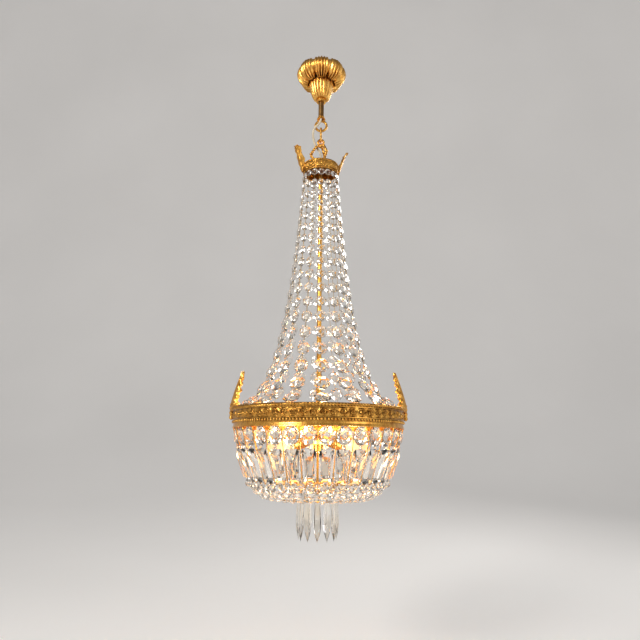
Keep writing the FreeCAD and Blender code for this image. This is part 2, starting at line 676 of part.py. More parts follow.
def rod():
    foot = f"({BOTTOM_UNDER} - fit - finial_high / 2)"
    node("central_rod", tube("central_rod", "rod_radius", "rod_bore", foot, ROD_TOP))
    lip_foot = f"({ROD_TOP} + fit)"
    lip = cylinder("bushing_flange", "bushing_radius", lip_foot, f"({ROD_TOP} + fit + bushing_lip)")
    throat = cylinder("bushing_throat", "cable_radius + fit / 2", f"({ROD_TOP} - 1)", f"({ROD_TOP} + 5)")
    node("cable_bushing", cut("cable_bushing", lip, throat))
    nuts = []
    crown_seat, hub_seat = f"({PLATE_TOP} + fit + rod_nut_high)", f"({HUB_FOOT} - fit)"
    for name, seat in (("crown_nut", crown_seat), ("hub_nut", hub_seat)):
        outside = hexagon(f"{name}_hexagon", "rod_nut_radius", f"({seat} - rod_nut_high)", seat)
        bore = cylinder(f"{name}_bore", "rod_radius + fit", f"({seat} - 2 * rod_nut_high)", f"({seat} + 1)")
        nuts.append(cut(name, outside, bore))
    compound = doc.addObject("Part::Compound", "rod_nuts")
    compound.Links = nuts
    node("rod_nuts", compound)


# ---------------------------------------------------------------- curtain of beads

def catenary_parameter(span, drop):
    """The scale of a hanging chain that is level at its low end and rises drop over span."""
    low, high = span / 12, span * 4
    for step in range(60):
        middle = (low + high) / 2
        if middle * (math.cosh(span / middle) - 1) > drop:
            low = middle
        else:
            high = middle
    return middle


def curtain():
    """Strands that hang as chains from the crown's ring to the band's top edge, beads growing on the way."""
    top_radius = size(STRAND_RING_RADIUS)
    rim_radius = size("band_radius - band_wall") - 0.4
    rim_level = size(BAND_TOP) + 1.0
    top_level = size(f"{STRAND_RING} - hoop_wire") - 0.1
    span = rim_radius - top_radius
    scale = catenary_parameter(span, top_level - rim_level)
    length = scale * math.sinh(span / scale)
    beads = int(size("strand_beads"))
    smallest, growth = size("bead_top"), size("bead_bottom - bead_top")
    widths = [smallest + growth * (count / (beads - 1)) ** 2 for count in range(beads)]
    first_gap = 0.25
    gap = (length - sum(widths)) / (beads + first_gap)

    def point(from_top):
        reach = scale * math.asinh((length - from_top) / scale)
        return Vector(rim_radius - reach, 0, rim_level + scale * (math.cosh(reach / scale) - 1))

    bead_shapes, pin_shapes = [], []
    reached = (first_gap - 1) * gap
    last = point(0)
    play = 0.15
    for width in widths:
        start, end = point(reached + gap), point(reached + gap + width)
        centre = (start + end) / 2
        along = (start - end).normalize()
        outward = Vector(0, -1, 0).cross(along)
        bead = cut_plate(octagon(width, width), width * size("bead_plump"), 0.55)
        bead_shapes.append(placed(bead, set_on(centre, along, outward)))
        start, end = centre + along * (width / 2), centre - along * (width / 2)
        pin_shapes.append(pin_between(last, start, play))
        last = end
        reached += gap + width
    pin_shapes.append(pin_between(last, point(length), play))

    strands = int(size("strands"))
    turn = 360 / strands
    first = -90 + size("strand_start")
    groups = 6
    solids = {group: [] for group in range(groups)}
    all_pins = []
    for strand in range(strands):
        azimuth = first + turn * strand
        solids[strand * groups // strands] += [around(bead, azimuth) for bead in bead_shapes]
        all_pins += [around(pin, azimuth) for pin in pin_shapes]
    for group, beads_in_group in solids.items():
        shape_node(f"bead_strands_{group + 1}", Part.makeCompound(beads_in_group))
    shape_node("strand_pins", Part.makeCompound(all_pins))


def pin_between(start, end, play):
    step = end - start
    reach = max(step.Length - 2 * play, 0.5)
    return Part.makeCylinder(size("pin_radius"), reach, start + step.normalize() * play, step)


# ---------------------------------------------------------------- lower band and spider

def lower_band():
    wall = tube("band_wall_ring", "band_radius", "band_radius - band_wall", BAND_FOOT, BAND_TOP)
    rope = torus("band_rope", "band_radius", "rope_radius", f"({BAND_TOP} - rope_drop)")
    line = torus("band_bead_line", "band_radius", "bead_line_radius", f"({BAND_FOOT} + bead_line_rise)")
    node("lower_band", fuse("lower_band", wall, rope, line))
    screw = doc.addObject("Part::Cylinder", "seam_screw")
    screw.Placement = Placement(Vector(), Rotation(Vector(1, 0, 0), 90))
    bind(screw, Radius="seam_screw_radius", Height="seam_screw_high",
         Placement__Base__y="0 - band_radius - fit", Placement__Base__z=f"({BAND_FOOT} + band_high * 0.6)")
    node("seam_screw", screw)
    low = size(f"{BAND_FOOT} + band_high * 0.5")
    high = size("band_leaf_high")
    base = size("band_radius + rope_radius + leaf_thick + band_leaf_stand")
    lean = size("band_leaf_lean")
    spine = [
        (base, low),
        (base - 0.4, low + 0.15 * high),
        (base - 0.05 * lean, low + 0.30 * high),
        (base - 0.48 * lean, low + 0.65 * high),
        (base - lean, low + high),
    ]
    blade = leaf(spine, size("band_leaf_wide"), size("band_leaf_fold"))
    wall = size("band_radius + fit")
    reach = size("band_radius + boss_reach")
    bosses = []
    for rise, inner in ((0, wall), (9.6, wall), (24, base - 1)):
        start = Vector(inner, 0, low + rise + 1)
        bosses.append(Part.makeCylinder(size("boss_radius"), reach - inner, start, Vector(1, 0, 0)))
    blade = blade.fuse(bosses).removeSplitter()
    pair = [around(blade, azimuth) for azimuth in (0, 180)]
    shape_node("band_leaves", Part.makeCompound(pair))


def band_spider():
    arm_top = f"({SPIDER_LOW} + spider_thick)"
    hub = cylinder("spider_hub_body", "spider_hub", SPIDER_FOOT, f"({SPIDER_FOOT} + spider_hub_high)")
    bar_long = "2 * (band_radius - band_wall - fit)"
    bar = box("spider_bar", bar_long, "spider_wide", SPIDER_LOW, arm_top)
    cross = doc.addObject("Part::Box", "spider_cross")
    bind(cross, Length="spider_wide", Width=bar_long, Height="spider_thick", Placement__Base__z=SPIDER_LOW)
    bind(cross, Placement__Base__x="0 - spider_wide / 2", Placement__Base__y=f"0 - {bar_long} / 2")
    hole_top = f"({SPIDER_FOOT} + 2 * spider_hub_high)"
    hole = cylinder("spider_hole", "rod_radius + fit", f"({SPIDER_FOOT} - 1)", hole_top)
    node("band_spider", cut("band_spider", fuse("spider_arms", hub, bar, cross), hole))


# ---------------------------------------------------------------- bowl

def bowl_rows():
    """A row of upright octagons with joint beads, and a row of coffin prisms leaning in below them."""
    count = int(size("bowl_count"))
    turn = 360 / count
    top_ring, waist = size("band_radius - octagon_inset"), size("band_radius - waist_inset")
    foot = size(BOWL_FOOT)
    tall = size("octagon_high")
    octagon_top = Vector(top_ring, 0, size(f"{BAND_FOOT} - fit"))
    lean = math.asin((top_ring - waist) / tall)
    along = Vector(math.sin(lean), 0, math.cos(lean))
    outward = Vector(0, -1, 0).cross(along)
    plate = cut_plate(octagon(size("octagon_wide"), tall), size("octagon_thick"), 0.5)
    pane = placed(plate, set_on(octagon_top - along * (tall / 2), along, outward))
    wide = size("joint_bead")
    small = cut_plate(octagon(wide, wide), wide * 0.7, 0.55)
    bead_centre = Vector(waist, 0, size(f"{JOINT_BEADS} - joint_bead / 2"))
    bead = placed(small, set_on(bead_centre, Vector(0, 0, 1), Vector(1, 0, 0)))
    middle = -90 + turn / 2
    row = [around(shape, middle + turn * step) for step in range(count) for shape in (pane, bead)]
    shape_node("bowl_octagons", Part.makeCompound(row))

    high, shoulder = size("prism_high"), size("prism_shoulder")
    half_top, half_foot = size("prism_top / 2"), size("prism_bottom / 2")
    half_side = [(0.45 * half_top, high / 2), (half_top, high / 2 - shoulder), (half_foot, 6 - high / 2)]
    half_side.append((half_foot - 5, -high / 2))
    outline = half_side + [(-x, y) for x, y in reversed(half_side)]
    lean = math.asin((waist - foot) / high)
    along = Vector(math.sin(lean), 0, math.cos(lean))
    outward = Vector(0, -1, 0).cross(along)
    prism = cut_plate(outline, size("prism_thick"), 0.5)
    centre = Vector(waist, 0, size(PRISM_TOP)) - along * (high / 2)
    prism = placed(prism, set_on(centre, along, outward))
    row = [around(prism, middle + turn * step) for step in range(count)]
    shape_node("bowl_prisms", Part.makeCompound(row))
    return size(PRISM_TOP) - high * math.cos(lean)


def festoons(hoop_level):
    """Sagging chains of small octagons from the bowl's hoop to the bottom plate, over a lower hoop."""
    start = Vector(size(BOWL_FOOT), 0, hoop_level)
    end = Vector(size("bottom_plate_radius + fit"), 0, size(f"{BOTTOM_TOP} - bottom_plate_thick / 2"))
    sag = size("festoon_sag")

    squareness = 2.8

    def point(share):
        straight = start + (end - start) * share
        return straight - Vector(0, 0, sag * (1 - abs(2 * share - 1) ** squareness))

    samples = [point(step / 1500) for step in range(1501)]
    walked = [0]
    for near, far in zip(samples, samples[1:]):
        walked.append(walked[-1] + (far - near).Length)

    def point_at(distance):
        return next((place for place, reached in zip(samples, walked) if reached >= distance), samples[-1])

    wide, wire = size("festoon_bead"), size("bowl_wire")
    outer, least = int(size("festoon_outer")), size("festoon_gap")
    room = walked[-1] - 3 * wire
    inner = int((room - 2 * least) / (wide + least)) - outer
    gap = (room - (outer + inner) * wide) / (outer + inner + 2)
    small = cut_plate(octagon(wide, wide), wide * 0.45, 0.5)

    def bead_from(distance):
        near, far = point_at(distance), point_at(distance + wide)
        along = (near - far).normalize()
        return placed(small, set_on((near + far) / 2, along, Vector(0, -1, 0).cross(along)))

    outer_beads = [bead_from(wire + gap + (wide + gap) * step) for step in range(outer)]
    low_hoop = wire + gap + (wide + gap) * outer + wire
    inner_beads = [bead_from(low_hoop + wire + gap + (wide + gap) * step) for step in range(inner)]
    count = int(size("bowl_count"))
    turn = 360 / count
    middle = -90 + turn / 2
    chains = [around(bead, middle + turn * step) for step in range(count) for bead in outer_beads]
    chains += [around(bead, middle + turn * step) for step in range(0, count, 2) for bead in inner_beads]
    wide = size("fringe_bead")
    small = cut_plate(octagon(wide, wide), wide * 0.4, 0.5)
    hanging = set_on(start + Vector(size("fringe_reach"), 0, -wide * 0.22), Vector(0, 0, 1), Vector(1, 0, 0))
    fringe = placed(small, hanging)
    chains += [around(fringe, middle + turn * step / 2) for step in range(2 * count)]
    shape_node("bowl_festoons", Part.makeCompound(chains))
    return point_at(low_hoop)


def bowl_straps(hoop_level):
    """Gilt wires in the gaps between the bowl's crystals, from the band down to the hoop."""
    wire = size("strap_wire")
    top = Vector(size("band_radius - band_wall / 2"), 0, size(f"{BAND_FOOT} - fit") - wire / 3)
    bend = Vector(size("band_radius - waist_inset"), 0, size(f"{JOINT_BEADS} - joint_bead / 2"))
    foot = Vector(size(BOWL_FOOT), 0, hoop_level + size("bowl_wire") + wire / 2)
    strap = swept_tube([top, bend, foot], wire)
    count = int(size("bowl_count"))
    row = [around(strap, -90 + 360 / count * step) for step in range(count)]
    shape_node("bowl_straps", Part.makeCompound(row))


def bowl():
    wire = size("bowl_wire")
    foot_level = bowl_rows() - wire - 0.1
    bowl_straps(foot_level)
    lowest = festoons(foot_level)
    hoops = [Part.makeTorus(size(STRAND_RING_RADIUS), size("hoop_wire"), Vector(0, 0, size(STRAND_RING)))]
    for centre in (Vector(size(BOWL_FOOT), 0, foot_level), lowest):
        hoops.append(Part.makeTorus(centre.x, wire, Vector(0, 0, centre.z)))
    shape_node("wire_hoops", Part.makeCompound(hoops))


# ---------------------------------------------------------------- lamps

def lamp_placement(azimuth):
    """Local X runs out along the lamp, from the axis at the lamp level."""
    tilt = Rotation(Vector(0, 1, 0), size("lamp_tilt"))
    return Placement(Vector(0, 0, size(LAMP_LEVEL)), about_z(azimuth) * tilt)


def lamp_cylinder(radius, start, end):
    return Part.makeCylinder(radius, end - start, Vector(start, 0, 0), Vector(1, 0, 0))


def lamps():
    count = int(size("lamp_count"))
    azimuths = [90 + 360 / count * step for step in range(count)]
    start = size("holder_start")
    mouth = start + size("holder_long")
    hub = Part.makeCylinder(size("hub_radius"), size("hub_high"), Vector(0, 0, size(HUB_FOOT)))
    holder = lamp_cylinder(size("holder_radius"), start, mouth)
    holder = holder.cut(lamp_cylinder(size("holder_bore"), start + size("holder_wall"), mouth + 1))
    globe_centre = Vector(mouth + size("globe_reach"), 0, 0)
    globe = Part.makeSphere(size("globe_radius"), globe_centre)
    cap_end = mouth + size("slide_gap")
    cap = lamp_cylinder(size("cap_radius"), cap_end - size("cap_long"), cap_end + 1)
    neck_long = size("globe_reach") - 0.45 * size("globe_radius")
    neck = Part.makeCone(size("cap_radius + 3"), 0.88 * size("globe_radius"), neck_long,
                         Vector(cap_end, 0, 0), Vector(1, 0, 0))
    bulb = cap.fuse([neck, globe]).removeSplitter()
    holders = []
    for azimuth in azimuths:
        stub = lamp_cylinder(size("stub_radius"), 0, start - size("fit"))
        hub = hub.fuse(placed(stub, lamp_placement(azimuth)))
        holders.append(placed(holder, lamp_placement(azimuth)))
    rod_hole = Part.makeCylinder(size("rod_radius + fit"), 2 * size("hub_high"),
                                 Vector(0, 0, size(HUB_FOOT) - 2))
    shape_node("lamp_hub", hub.cut(rod_hole))
    shape_node("lampholders", Part.makeCompound(holders))
    for step, azimuth in enumerate(azimuths, 1):
        shape_node(f"bulb_{step}", bulb, lamp_placement(azimuth))


# ---------------------------------------------------------------- bottom plate and icicles

def bottom():
    plate = tube("bottom_plate", "bottom_plate_radius", "rod_radius + fit", BOTTOM_UNDER, BOTTOM_TOP)
    node("bottom_plate", plate)
    ring = torus("icicle_wire", "icicle_ring_radius", "icicle_ring_wire", ICICLE_WIRE)
    posts = [ring]
    pitch = 360 / size("icicles")
    for step in range(int(size("icicle_posts"))):
        post = doc.addObject("Part::Cylinder", f"icicle_post{step}")
        azimuth = pitch * (0.5 + round(step * size("icicles") / size("icicle_posts")))
        bind(post, Radius="icicle_post", Height=f"{BOTTOM_UNDER} - fit - {ICICLE_WIRE}")
        bind(post, Placement__Base__z=ICICLE_WIRE)
        bind(post, Placement__Base__x=f"icicle_ring_radius * {math.cos(math.radians(azimuth)):.9f}")
        bind(post, Placement__Base__y=f"icicle_ring_radius * {math.sin(math.radians(azimuth)):.9f}")
        posts.append(post)
    node("icicle_ring", fuse("icicle_ring", *posts))
    shaft = cone("finial_shaft", "finial_radius * 0.45", "finial_radius", f"({BOTTOM_UNDER} - fit - finial_high)",
                 f"({BOTTOM_UNDER} - fit)")
    socket = cylinder("finial_socket", "rod_radius + fit", f"({BOTTOM_UNDER} - 2 * fit - finial_high / 2)",
                      BOTTOM_UNDER)
    node("bottom_finial", cut("bottom_finial", shaft, socket))


def icicle():
    """A spear prism that hangs by a wire eye; the eye's centre is its own origin, the front looks along X."""
    inner = size("icicle_ring_wire + slide_gap")
    wire = size("eye_wire")
    eye = Part.makeTorus(inner + wire, wire, Vector(), Vector(0, 1, 0))
    top = -(inner + 2 * wire + size("fit"))
    wide, thick = size("icicle_wide"), size("icicle_thick")
    widest, tip = top - size("icicle_widest"), top - size("icicle_long")

    def section(share, level):
        corners = []
        for step in range(8):
            angle = math.pi / 8 + math.pi / 4 * step
            deep, across = share * thick / 2, share * wide / 2
            corners.append(Vector(deep * math.cos(angle), across * math.sin(angle), level))
        return corners

    full = 1 / math.cos(math.pi / 8)
    body = crystal([section(0.34, top), section(0.5, top - 5), section(full, widest), [Vector(0, 0, tip)]])
    return Part.makeCompound([body, eye])


def icicles():
    count = int(size("icicles"))
    shape = icicle()
    radius = size("icicle_ring_radius")
    for step in range(count):
        azimuth = 360 / count * step
        angle = math.radians(azimuth)
        centre = Vector(radius * math.cos(angle), radius * math.sin(angle), size(ICICLE_WIRE))
        shape_node(f"icicle_{step + 1:02d}", shape, Placement(centre, about_z(azimuth)))


# ---------------------------------------------------------------- checks and files

def check_and_write():
    doc.recompute()
    for thing in doc.Objects:
        if "Invalid" in thing.State or "Error" in thing.State:
            raise SystemExit(f"{thing.Name} did not build: {thing.State}")
    for thing in NODES:
        shape = thing.Shape
        if shape.isNull() or not shape.isValid() or not shape.Solids:
            raise SystemExit(f"{thing.Label} has no valid solid")
        if shape.Volume <= 0:
            raise SystemExit(f"{thing.Label} is inside out")
    os.makedirs("parts", exist_ok=True)
    for thing in NODES:
        thing.Shape.exportStep(f"parts/{thing.Label}.step")
    print(len(NODES), "nodes,", sum(len(thing.Shape.Solids) for thing in NODES), "solids")


fill_sheet()
ceiling_fixing()
stem()
canopy()
canopy_collar()
hanging_link()
yoke()
cable()
rod()
rod_cable()
crown()
curtain()
lower_band()
band_spider()
bowl()
lamps()
bottom()
icicles()
check_and_write()
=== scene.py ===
import math

import bpy
import numpy as np
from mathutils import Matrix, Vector

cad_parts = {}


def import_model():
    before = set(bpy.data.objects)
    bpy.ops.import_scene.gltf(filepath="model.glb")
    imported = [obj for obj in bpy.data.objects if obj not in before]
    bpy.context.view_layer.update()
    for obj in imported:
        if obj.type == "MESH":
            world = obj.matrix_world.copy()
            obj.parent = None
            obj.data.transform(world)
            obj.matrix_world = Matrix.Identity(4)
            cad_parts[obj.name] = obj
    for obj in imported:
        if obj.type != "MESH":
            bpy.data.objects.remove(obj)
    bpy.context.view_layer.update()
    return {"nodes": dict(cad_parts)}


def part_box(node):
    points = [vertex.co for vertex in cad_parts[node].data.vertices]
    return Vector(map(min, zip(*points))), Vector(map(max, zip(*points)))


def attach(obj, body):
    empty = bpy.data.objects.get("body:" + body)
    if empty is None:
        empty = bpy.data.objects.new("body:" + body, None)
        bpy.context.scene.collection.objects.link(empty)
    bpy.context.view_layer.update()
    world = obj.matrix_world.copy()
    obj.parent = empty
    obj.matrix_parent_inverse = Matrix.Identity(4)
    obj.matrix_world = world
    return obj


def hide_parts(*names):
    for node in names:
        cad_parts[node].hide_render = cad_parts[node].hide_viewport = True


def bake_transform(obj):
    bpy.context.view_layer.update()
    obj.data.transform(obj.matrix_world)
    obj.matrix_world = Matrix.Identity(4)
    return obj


# A crystal basket chandelier in metres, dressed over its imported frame. The origin is the middle of
# the ceiling bar's top face, +Z is up and the front looks along -Y. Lengths in the shape code are
# millimetres, and add() and cord_line() turn them into metres. The stage, the camera and the lamps
# of the studio are in metres.

MM = 0.001
FLOOR_LEVEL = -1.42
SENSOR_WIDTH = 36
PHOTO_FOCAL = 586 / 640          # focal length, in widths of the photograph
CAMERA_PLACE = (0.004, -1.230, -0.890)
CAMERA_UP = 12.5                 # degrees above level
CAMERA_ROLL = -0.5
GLOW_RADIUS = 0.085              # of the three bulbs' light about the axis
GLOW_LEVEL = -0.885
GLOW_COLOUR = (1.0, 0.66, 0.34)
LAMP_LEVEL = -860.1              # where the three lamps' axes meet, in millimetres
LAMP_DROOP = 20                  # degrees that they point down
LAMP_AZIMUTHS = (90, 210, 330)

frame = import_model()
looks = {}


# ---------------- camera, floor and light

def camera():
    lens = bpy.data.cameras.new("photo_camera")
    lens.sensor_fit = "HORIZONTAL"
    lens.sensor_width = SENSOR_WIDTH
    lens.lens = SENSOR_WIDTH * PHOTO_FOCAL
    lens.clip_end = 60
    eye = bpy.data.objects.new("photo_camera", lens)
    eye.location = CAMERA_PLACE
    eye.rotation_euler = (math.radians(90 + CAMERA_UP), math.radians(CAMERA_ROLL), 0)
    bpy.context.scene.collection.objects.link(eye)
    bpy.context.scene.camera = eye


def floor():
    """A pale floor that turns up, far behind the chandelier, into a tall backdrop."""
    reach = 16
    rows = [(-reach, 0), (1.4, 0), (3.0, 0.25), (4.2, 1.0), (5.0, 2.4), (5.4, 5.0), (5.5, 12)]
    vertices = []
    for y, rise in rows:
        vertices += [(-reach, y, FLOOR_LEVEL + rise), (reach, y, FLOOR_LEVEL + rise)]
    faces = [(2 * step, 2 * step + 1, 2 * step + 3, 2 * step + 2) for step in range(len(rows) - 1)]
    mesh = bpy.data.meshes.new("pale_floor")
    mesh.from_pydata(vertices, [], faces)
    for polygon in mesh.polygons:
        polygon.use_smooth = True
    sheet = bpy.data.objects.new("pale_floor", mesh)
    soft = sheet.modifiers.new("soft_turn", "SUBSURF")
    soft.levels = 3
    soft.render_levels = 3
    bpy.context.scene.collection.objects.link(sheet)
    mesh.materials.append(looks["floor"])


def area_light(name, place, target, width, power, colour):
    lamp = bpy.data.lights.new(name, "AREA")
    lamp.shape = "DISK"
    lamp.size = width
    lamp.energy = power
    lamp.color = colour
    holder = bpy.data.objects.new(name, lamp)
    holder.location = place
    aim = Vector(target) - Vector(place)
    holder.rotation_euler = aim.to_track_quat("-Z", "Y").to_euler()
    bpy.context.scene.collection.objects.link(holder)


def warm_light(name, place, radius, power):
    """The lit bulbs' light on what stands round them, from a point between or above them."""
    lamp = bpy.data.lights.new(name, "POINT")
    lamp.shadow_soft_size = radius
    lamp.energy = power
    lamp.color = GLOW_COLOUR
    holder = bpy.data.objects.new(name, lamp)
    holder.location = place
    holder.visible_camera = False
    bpy.context.scene.collection.objects.link(holder)


def lights():
    middle = (0, 0, -0.6)
    area_light("key_light", (-1.5, -1.9, 0.35), middle, width=0.7, power=38, colour=(1.0, 0.97, 0.93))
    area_light("fill_light", (1.9, -1.4, -0.5), middle, width=1.4, power=10, colour=(0.95, 0.97, 1.0))
    area_light("rim_light", (0.9, 1.7, 0.5), middle, width=0.8, power=16, colour=(1.0, 0.98, 0.95))
    warm_light("glow_above_hub", (0, 0, -0.818), radius=0.020, power=1.0)
    for index, azimuth in enumerate((30, 150, 270), 1):
        angle = math.radians(azimuth)
        place = (GLOW_RADIUS * math.cos(angle), GLOW_RADIUS * math.sin(angle), GLOW_LEVEL)
        warm_light(f"glow_{index}", place, radius=0.016, power=0.65)


def world():
    """A pale surround that darkens overhead and underfoot, so that metal and glass have tones to show."""
    surround = bpy.data.worlds.new("studio")
    surround.use_nodes = True
    nodes = surround.node_tree.nodes
    links = surround.node_tree.links
    place = nodes.new("ShaderNodeTexCoord")
    parts = nodes.new("ShaderNodeSeparateXYZ")
    links.new(place.outputs["Generated"], parts.inputs["Vector"])
    share = nodes.new("ShaderNodeMapRange")
    share.inputs["From Min"].default_value = -1
    share.inputs["From Max"].default_value = 1
    links.new(parts.outputs["Z"], share.inputs["Value"])
    underfoot, low, level, high, overhead = 0.0, 0.42, 0.6, 0.8, 1.0
    tones = [(underfoot, (0.32, 0.30, 0.28)), (low, (0.66, 0.64, 0.62)), (level, (0.80, 0.78, 0.76)),
             (high, (0.46, 0.45, 0.44)), (overhead, (0.16, 0.16, 0.16))]
    shade = ramp(nodes, links, share.outputs["Result"], tones)
    links.new(shade, nodes["Background"].inputs["Color"])
    nodes["Background"].inputs["Strength"].default_value = 0.72
    bpy.context.scene.world = surround
    bpy.context.scene.view_settings.view_transform = "Standard"


# ---------------- materials

def new_material(name):
    material = bpy.data.materials.new(name)
    material.use_nodes = True
    looks[name] = material
    tree = material.node_tree
    return tree.nodes, tree.links, tree.nodes["Principled BSDF"]


def cloud(nodes, links, scale, detail):
    """Noise over the piece's own coordinates, in features per metre."""
    place = nodes.new("ShaderNodeTexCoord")
    texture = nodes.new("ShaderNodeTexNoise")
    texture.inputs["Scale"].default_value = scale
    texture.inputs["Detail"].default_value = detail
    links.new(place.outputs["Object"], texture.inputs["Vector"])
    return texture.outputs["Fac"]


def ramp(nodes, links, source, stops):
    node = nodes.new("ShaderNodeValToRGB")
    elements = node.color_ramp.elements
    while len(elements) < len(stops):
        elements.new(0.5)
    for element, (position, colour) in zip(elements, stops):
        element.position = position
        element.color = (*colour, 1)
    links.new(source, node.inputs["Fac"])
    return node.outputs["Color"]


def between(nodes, links, source, low, high):
    """A cloud's middle range, spread from one value to another."""
    node = nodes.new("ShaderNodeMapRange")
    node.inputs["From Min"].default_value = 0.3
    node.inputs["From Max"].default_value = 0.7
    node.inputs["To Min"].default_value = low
    node.inputs["To Max"].default_value = high
    links.new(source, node.inputs["Value"])
    return node.outputs["Result"]


def multiply(nodes, links, first, second):
    node = nodes.new("ShaderNodeMix")
    node.data_type = "RGBA"
    node.blend_type = "MULTIPLY"
    node.inputs["Factor"].default_value = 1
    links.new(first, node.inputs["A"])
    links.new(second, node.inputs["B"])
    return node.outputs["Result"]


def bump(nodes, links, source, depth, strength, shader):
    node = nodes.new("ShaderNodeBump")
    node.inputs["Distance"].default_value = depth
    node.inputs["Strength"].default_value = strength
    links.new(source, node.inputs["Height"])
    links.new(node.outputs["Normal"], shader.inputs["Normal"])


def metal(name, deep, bright, painted_hollow_shade, rough, reach=0.004, shade=(0.30, 0.92)):
    """Metal with a cloudy tone between deep and bright and a fine cast surface.

    What has other metal within reach, in metres, is darkened towards a painted shade colour, between the two
    shares
    of open sky in shade: painted shade in its hollows and creases.
    """
    nodes, links, shader = new_material(name)
    shader.inputs["Metallic"].default_value = 1
    tone = ramp(nodes, links, cloud(nodes, links, scale=70, detail=5), [(0.34, deep), (0.66, bright)])
    # Painted shade: ambient occlusion darkens the base colour where the piece's own metal is close by.
    crease = nodes.new("ShaderNodeAmbientOcclusion")
    crease.only_local = True
    crease.samples = 6
    crease.inputs["Distance"].default_value = reach
    painted_shade = ramp(nodes, links, crease.outputs["AO"], [(shade[0], painted_hollow_shade), (shade[1], (1, 1, 1))])
    links.new(multiply(nodes, links, tone, painted_shade), shader.inputs["Base Color"])
    grain = cloud(nodes, links, scale=420, detail=4)
    links.new(between(nodes, links, grain, *rough), shader.inputs["Roughness"])
    bump(nodes, links, grain, depth=0.0003, strength=0.35, shader=shader)


def cut_crystal():
    """Cut glass: clear, with a faint drift of tint from crystal to crystal and a slightly uneven polish."""
    clear, tinted = (1.0, 0.982, 0.955), (1.0, 0.940, 0.850)
    nodes, links, shader = new_material("cut_crystal")
    shader.inputs["Transmission Weight"].default_value = 1
    shader.inputs["IOR"].default_value = 1.54
    drift = cloud(nodes, links, scale=38, detail=1)
    links.new(ramp(nodes, links, drift, [(0.36, clear), (0.64, tinted)]), shader.inputs["Base Color"])
    polish = cloud(nodes, links, scale=160, detail=2)
    links.new(between(nodes, links, polish, 0.0, 0.035), shader.inputs["Roughness"])
    bump(nodes, links, polish, depth=0.0004, strength=0.10, shader=shader)


def smooth_finish(name, deep, bright, rough, scale):
    """Plastic or a sheath: a quiet mottle, and a gloss that varies a little."""
    nodes, links, shader = new_material(name)
    mottle = cloud(nodes, links, scale, detail=4)
    links.new(ramp(nodes, links, mottle, [(0.35, deep), (0.65, bright)]), shader.inputs["Base Color"])
    links.new(between(nodes, links, mottle, *rough), shader.inputs["Roughness"])
    bump(nodes, links, mottle, depth=0.0002, strength=0.25, shader=shader)


def lit_bulb():
    """The glowing globe of a bulb: pale glass with a warm light that is a little uneven."""
    amber, honey = (1.0, 0.58, 0.24), (1.0, 0.70, 0.36)
    nodes, links, shader = new_material("lit_bulb")
    shader.inputs["Base Color"].default_value = (0.42, 0.33, 0.22, 1)
    shader.inputs["Roughness"].default_value = 0.35
    glow = ramp(nodes, links, cloud(nodes, links, scale=60, detail=2), [(0.35, amber), (0.65, honey)])
    links.new(glow, shader.inputs["Emission Color"])
    shader.inputs["Emission Strength"].default_value = 1.15


def floor_finish():
    """A pale wash that also shows pale where the camera, a mirror or glass looks straight at it."""
    darker, paler = (0.76, 0.745, 0.73), (0.80, 0.785, 0.77)
    lift_strength = 0.25
    nodes, links, shader = new_material("floor")
    wash = ramp(nodes, links, cloud(nodes, links, scale=0.8, detail=3), [(0.3, darker), (0.7, paler)])
    links.new(wash, shader.inputs["Base Color"])
    links.new(wash, shader.inputs["Emission Color"])
    shader.inputs["Roughness"].default_value = 0.8
    shader.inputs["Specular IOR Level"].default_value = 0.2
    path = nodes.new("ShaderNodeLightPath")
    seen = path.outputs["Is Camera Ray"]
    for kind in ("Is Glossy Ray", "Is Transmission Ray"):
        either = nodes.new("ShaderNodeMath")
        either.operation = "MAXIMUM"
        links.new(seen, either.inputs[0])
        links.new(path.outputs[kind], either.inputs[1])
        seen = either.outputs["Value"]
    lift = nodes.new("ShaderNodeMath")
    lift.operation = "MULTIPLY"
    lift.inputs[1].default_value = lift_strength
    links.new(seen, lift.inputs[0])
    links.new(lift.outputs["Value"], shader.inputs["Emission Strength"])


# In each metal below, the hollow colour is the painted shade that metal() lays into hollows and creases.
def gilt_brass():
    metal("gilt_brass", deep=(0.58, 0.270, 0.048), bright=(0.95, 0.52, 0.115), painted_hollow_shade=(0.26, 0.085, 0.016),
          rough=(0.22, 0.40), reach=0.005, shade=(0.24, 0.92))


def gilt_pale():
    """The canopy's gilding, which is paler than the rest."""
    metal("gilt_pale", deep=(0.66, 0.320, 0.062), bright=(1.0, 0.58, 0.150), painted_hollow_shade=(0.30, 0.10, 0.020),
          rough=(0.24, 0.42), reach=0.004, shade=(0.15, 0.85))


def gilt_frieze():
    """Gilding over deep relief, with dark brown shade painted into its hollows."""
    metal("gilt_frieze", deep=(0.60, 0.265, 0.045), bright=(1.0, 0.54, 0.115), painted_hollow_shade=(0.055, 0.014, 0.003),
          rough=(0.20, 0.36), reach=0.006, shade=(0.42, 0.98))


# Darkened gilt, a painted shade for the underside of the crown plate; the stem tube takes it too.
def gilt_painted_shade():
    metal("gilt_painted_shade", deep=(0.13, 0.070, 0.026), bright=(0.28, 0.150, 0.050), painted_hollow_shade=(0.12, 0.06, 0.03),
          rough=(0.30, 0.48))


def lampholder_brass():
    metal("lampholder_brass", deep=(0.50, 0.27, 0.07), bright=(0.74, 0.45, 0.14), painted_hollow_shade=(0.25, 0.10, 0.03),
          rough=(0.25, 0.40))


def pin_wire():
    metal("pin_wire", deep=(0.55, 0.33, 0.10), bright=(0.85, 0.58, 0.22), painted_hollow_shade=(0.35, 0.18, 0.05),
          rough=(0.22, 0.35))


def plated_steel():
    metal("plated_steel", deep=(0.42, 0.43, 0.44), bright=(0.62, 0.62, 0.61), painted_hollow_shade=(0.20, 0.20, 0.20),
          rough=(0.30, 0.50))


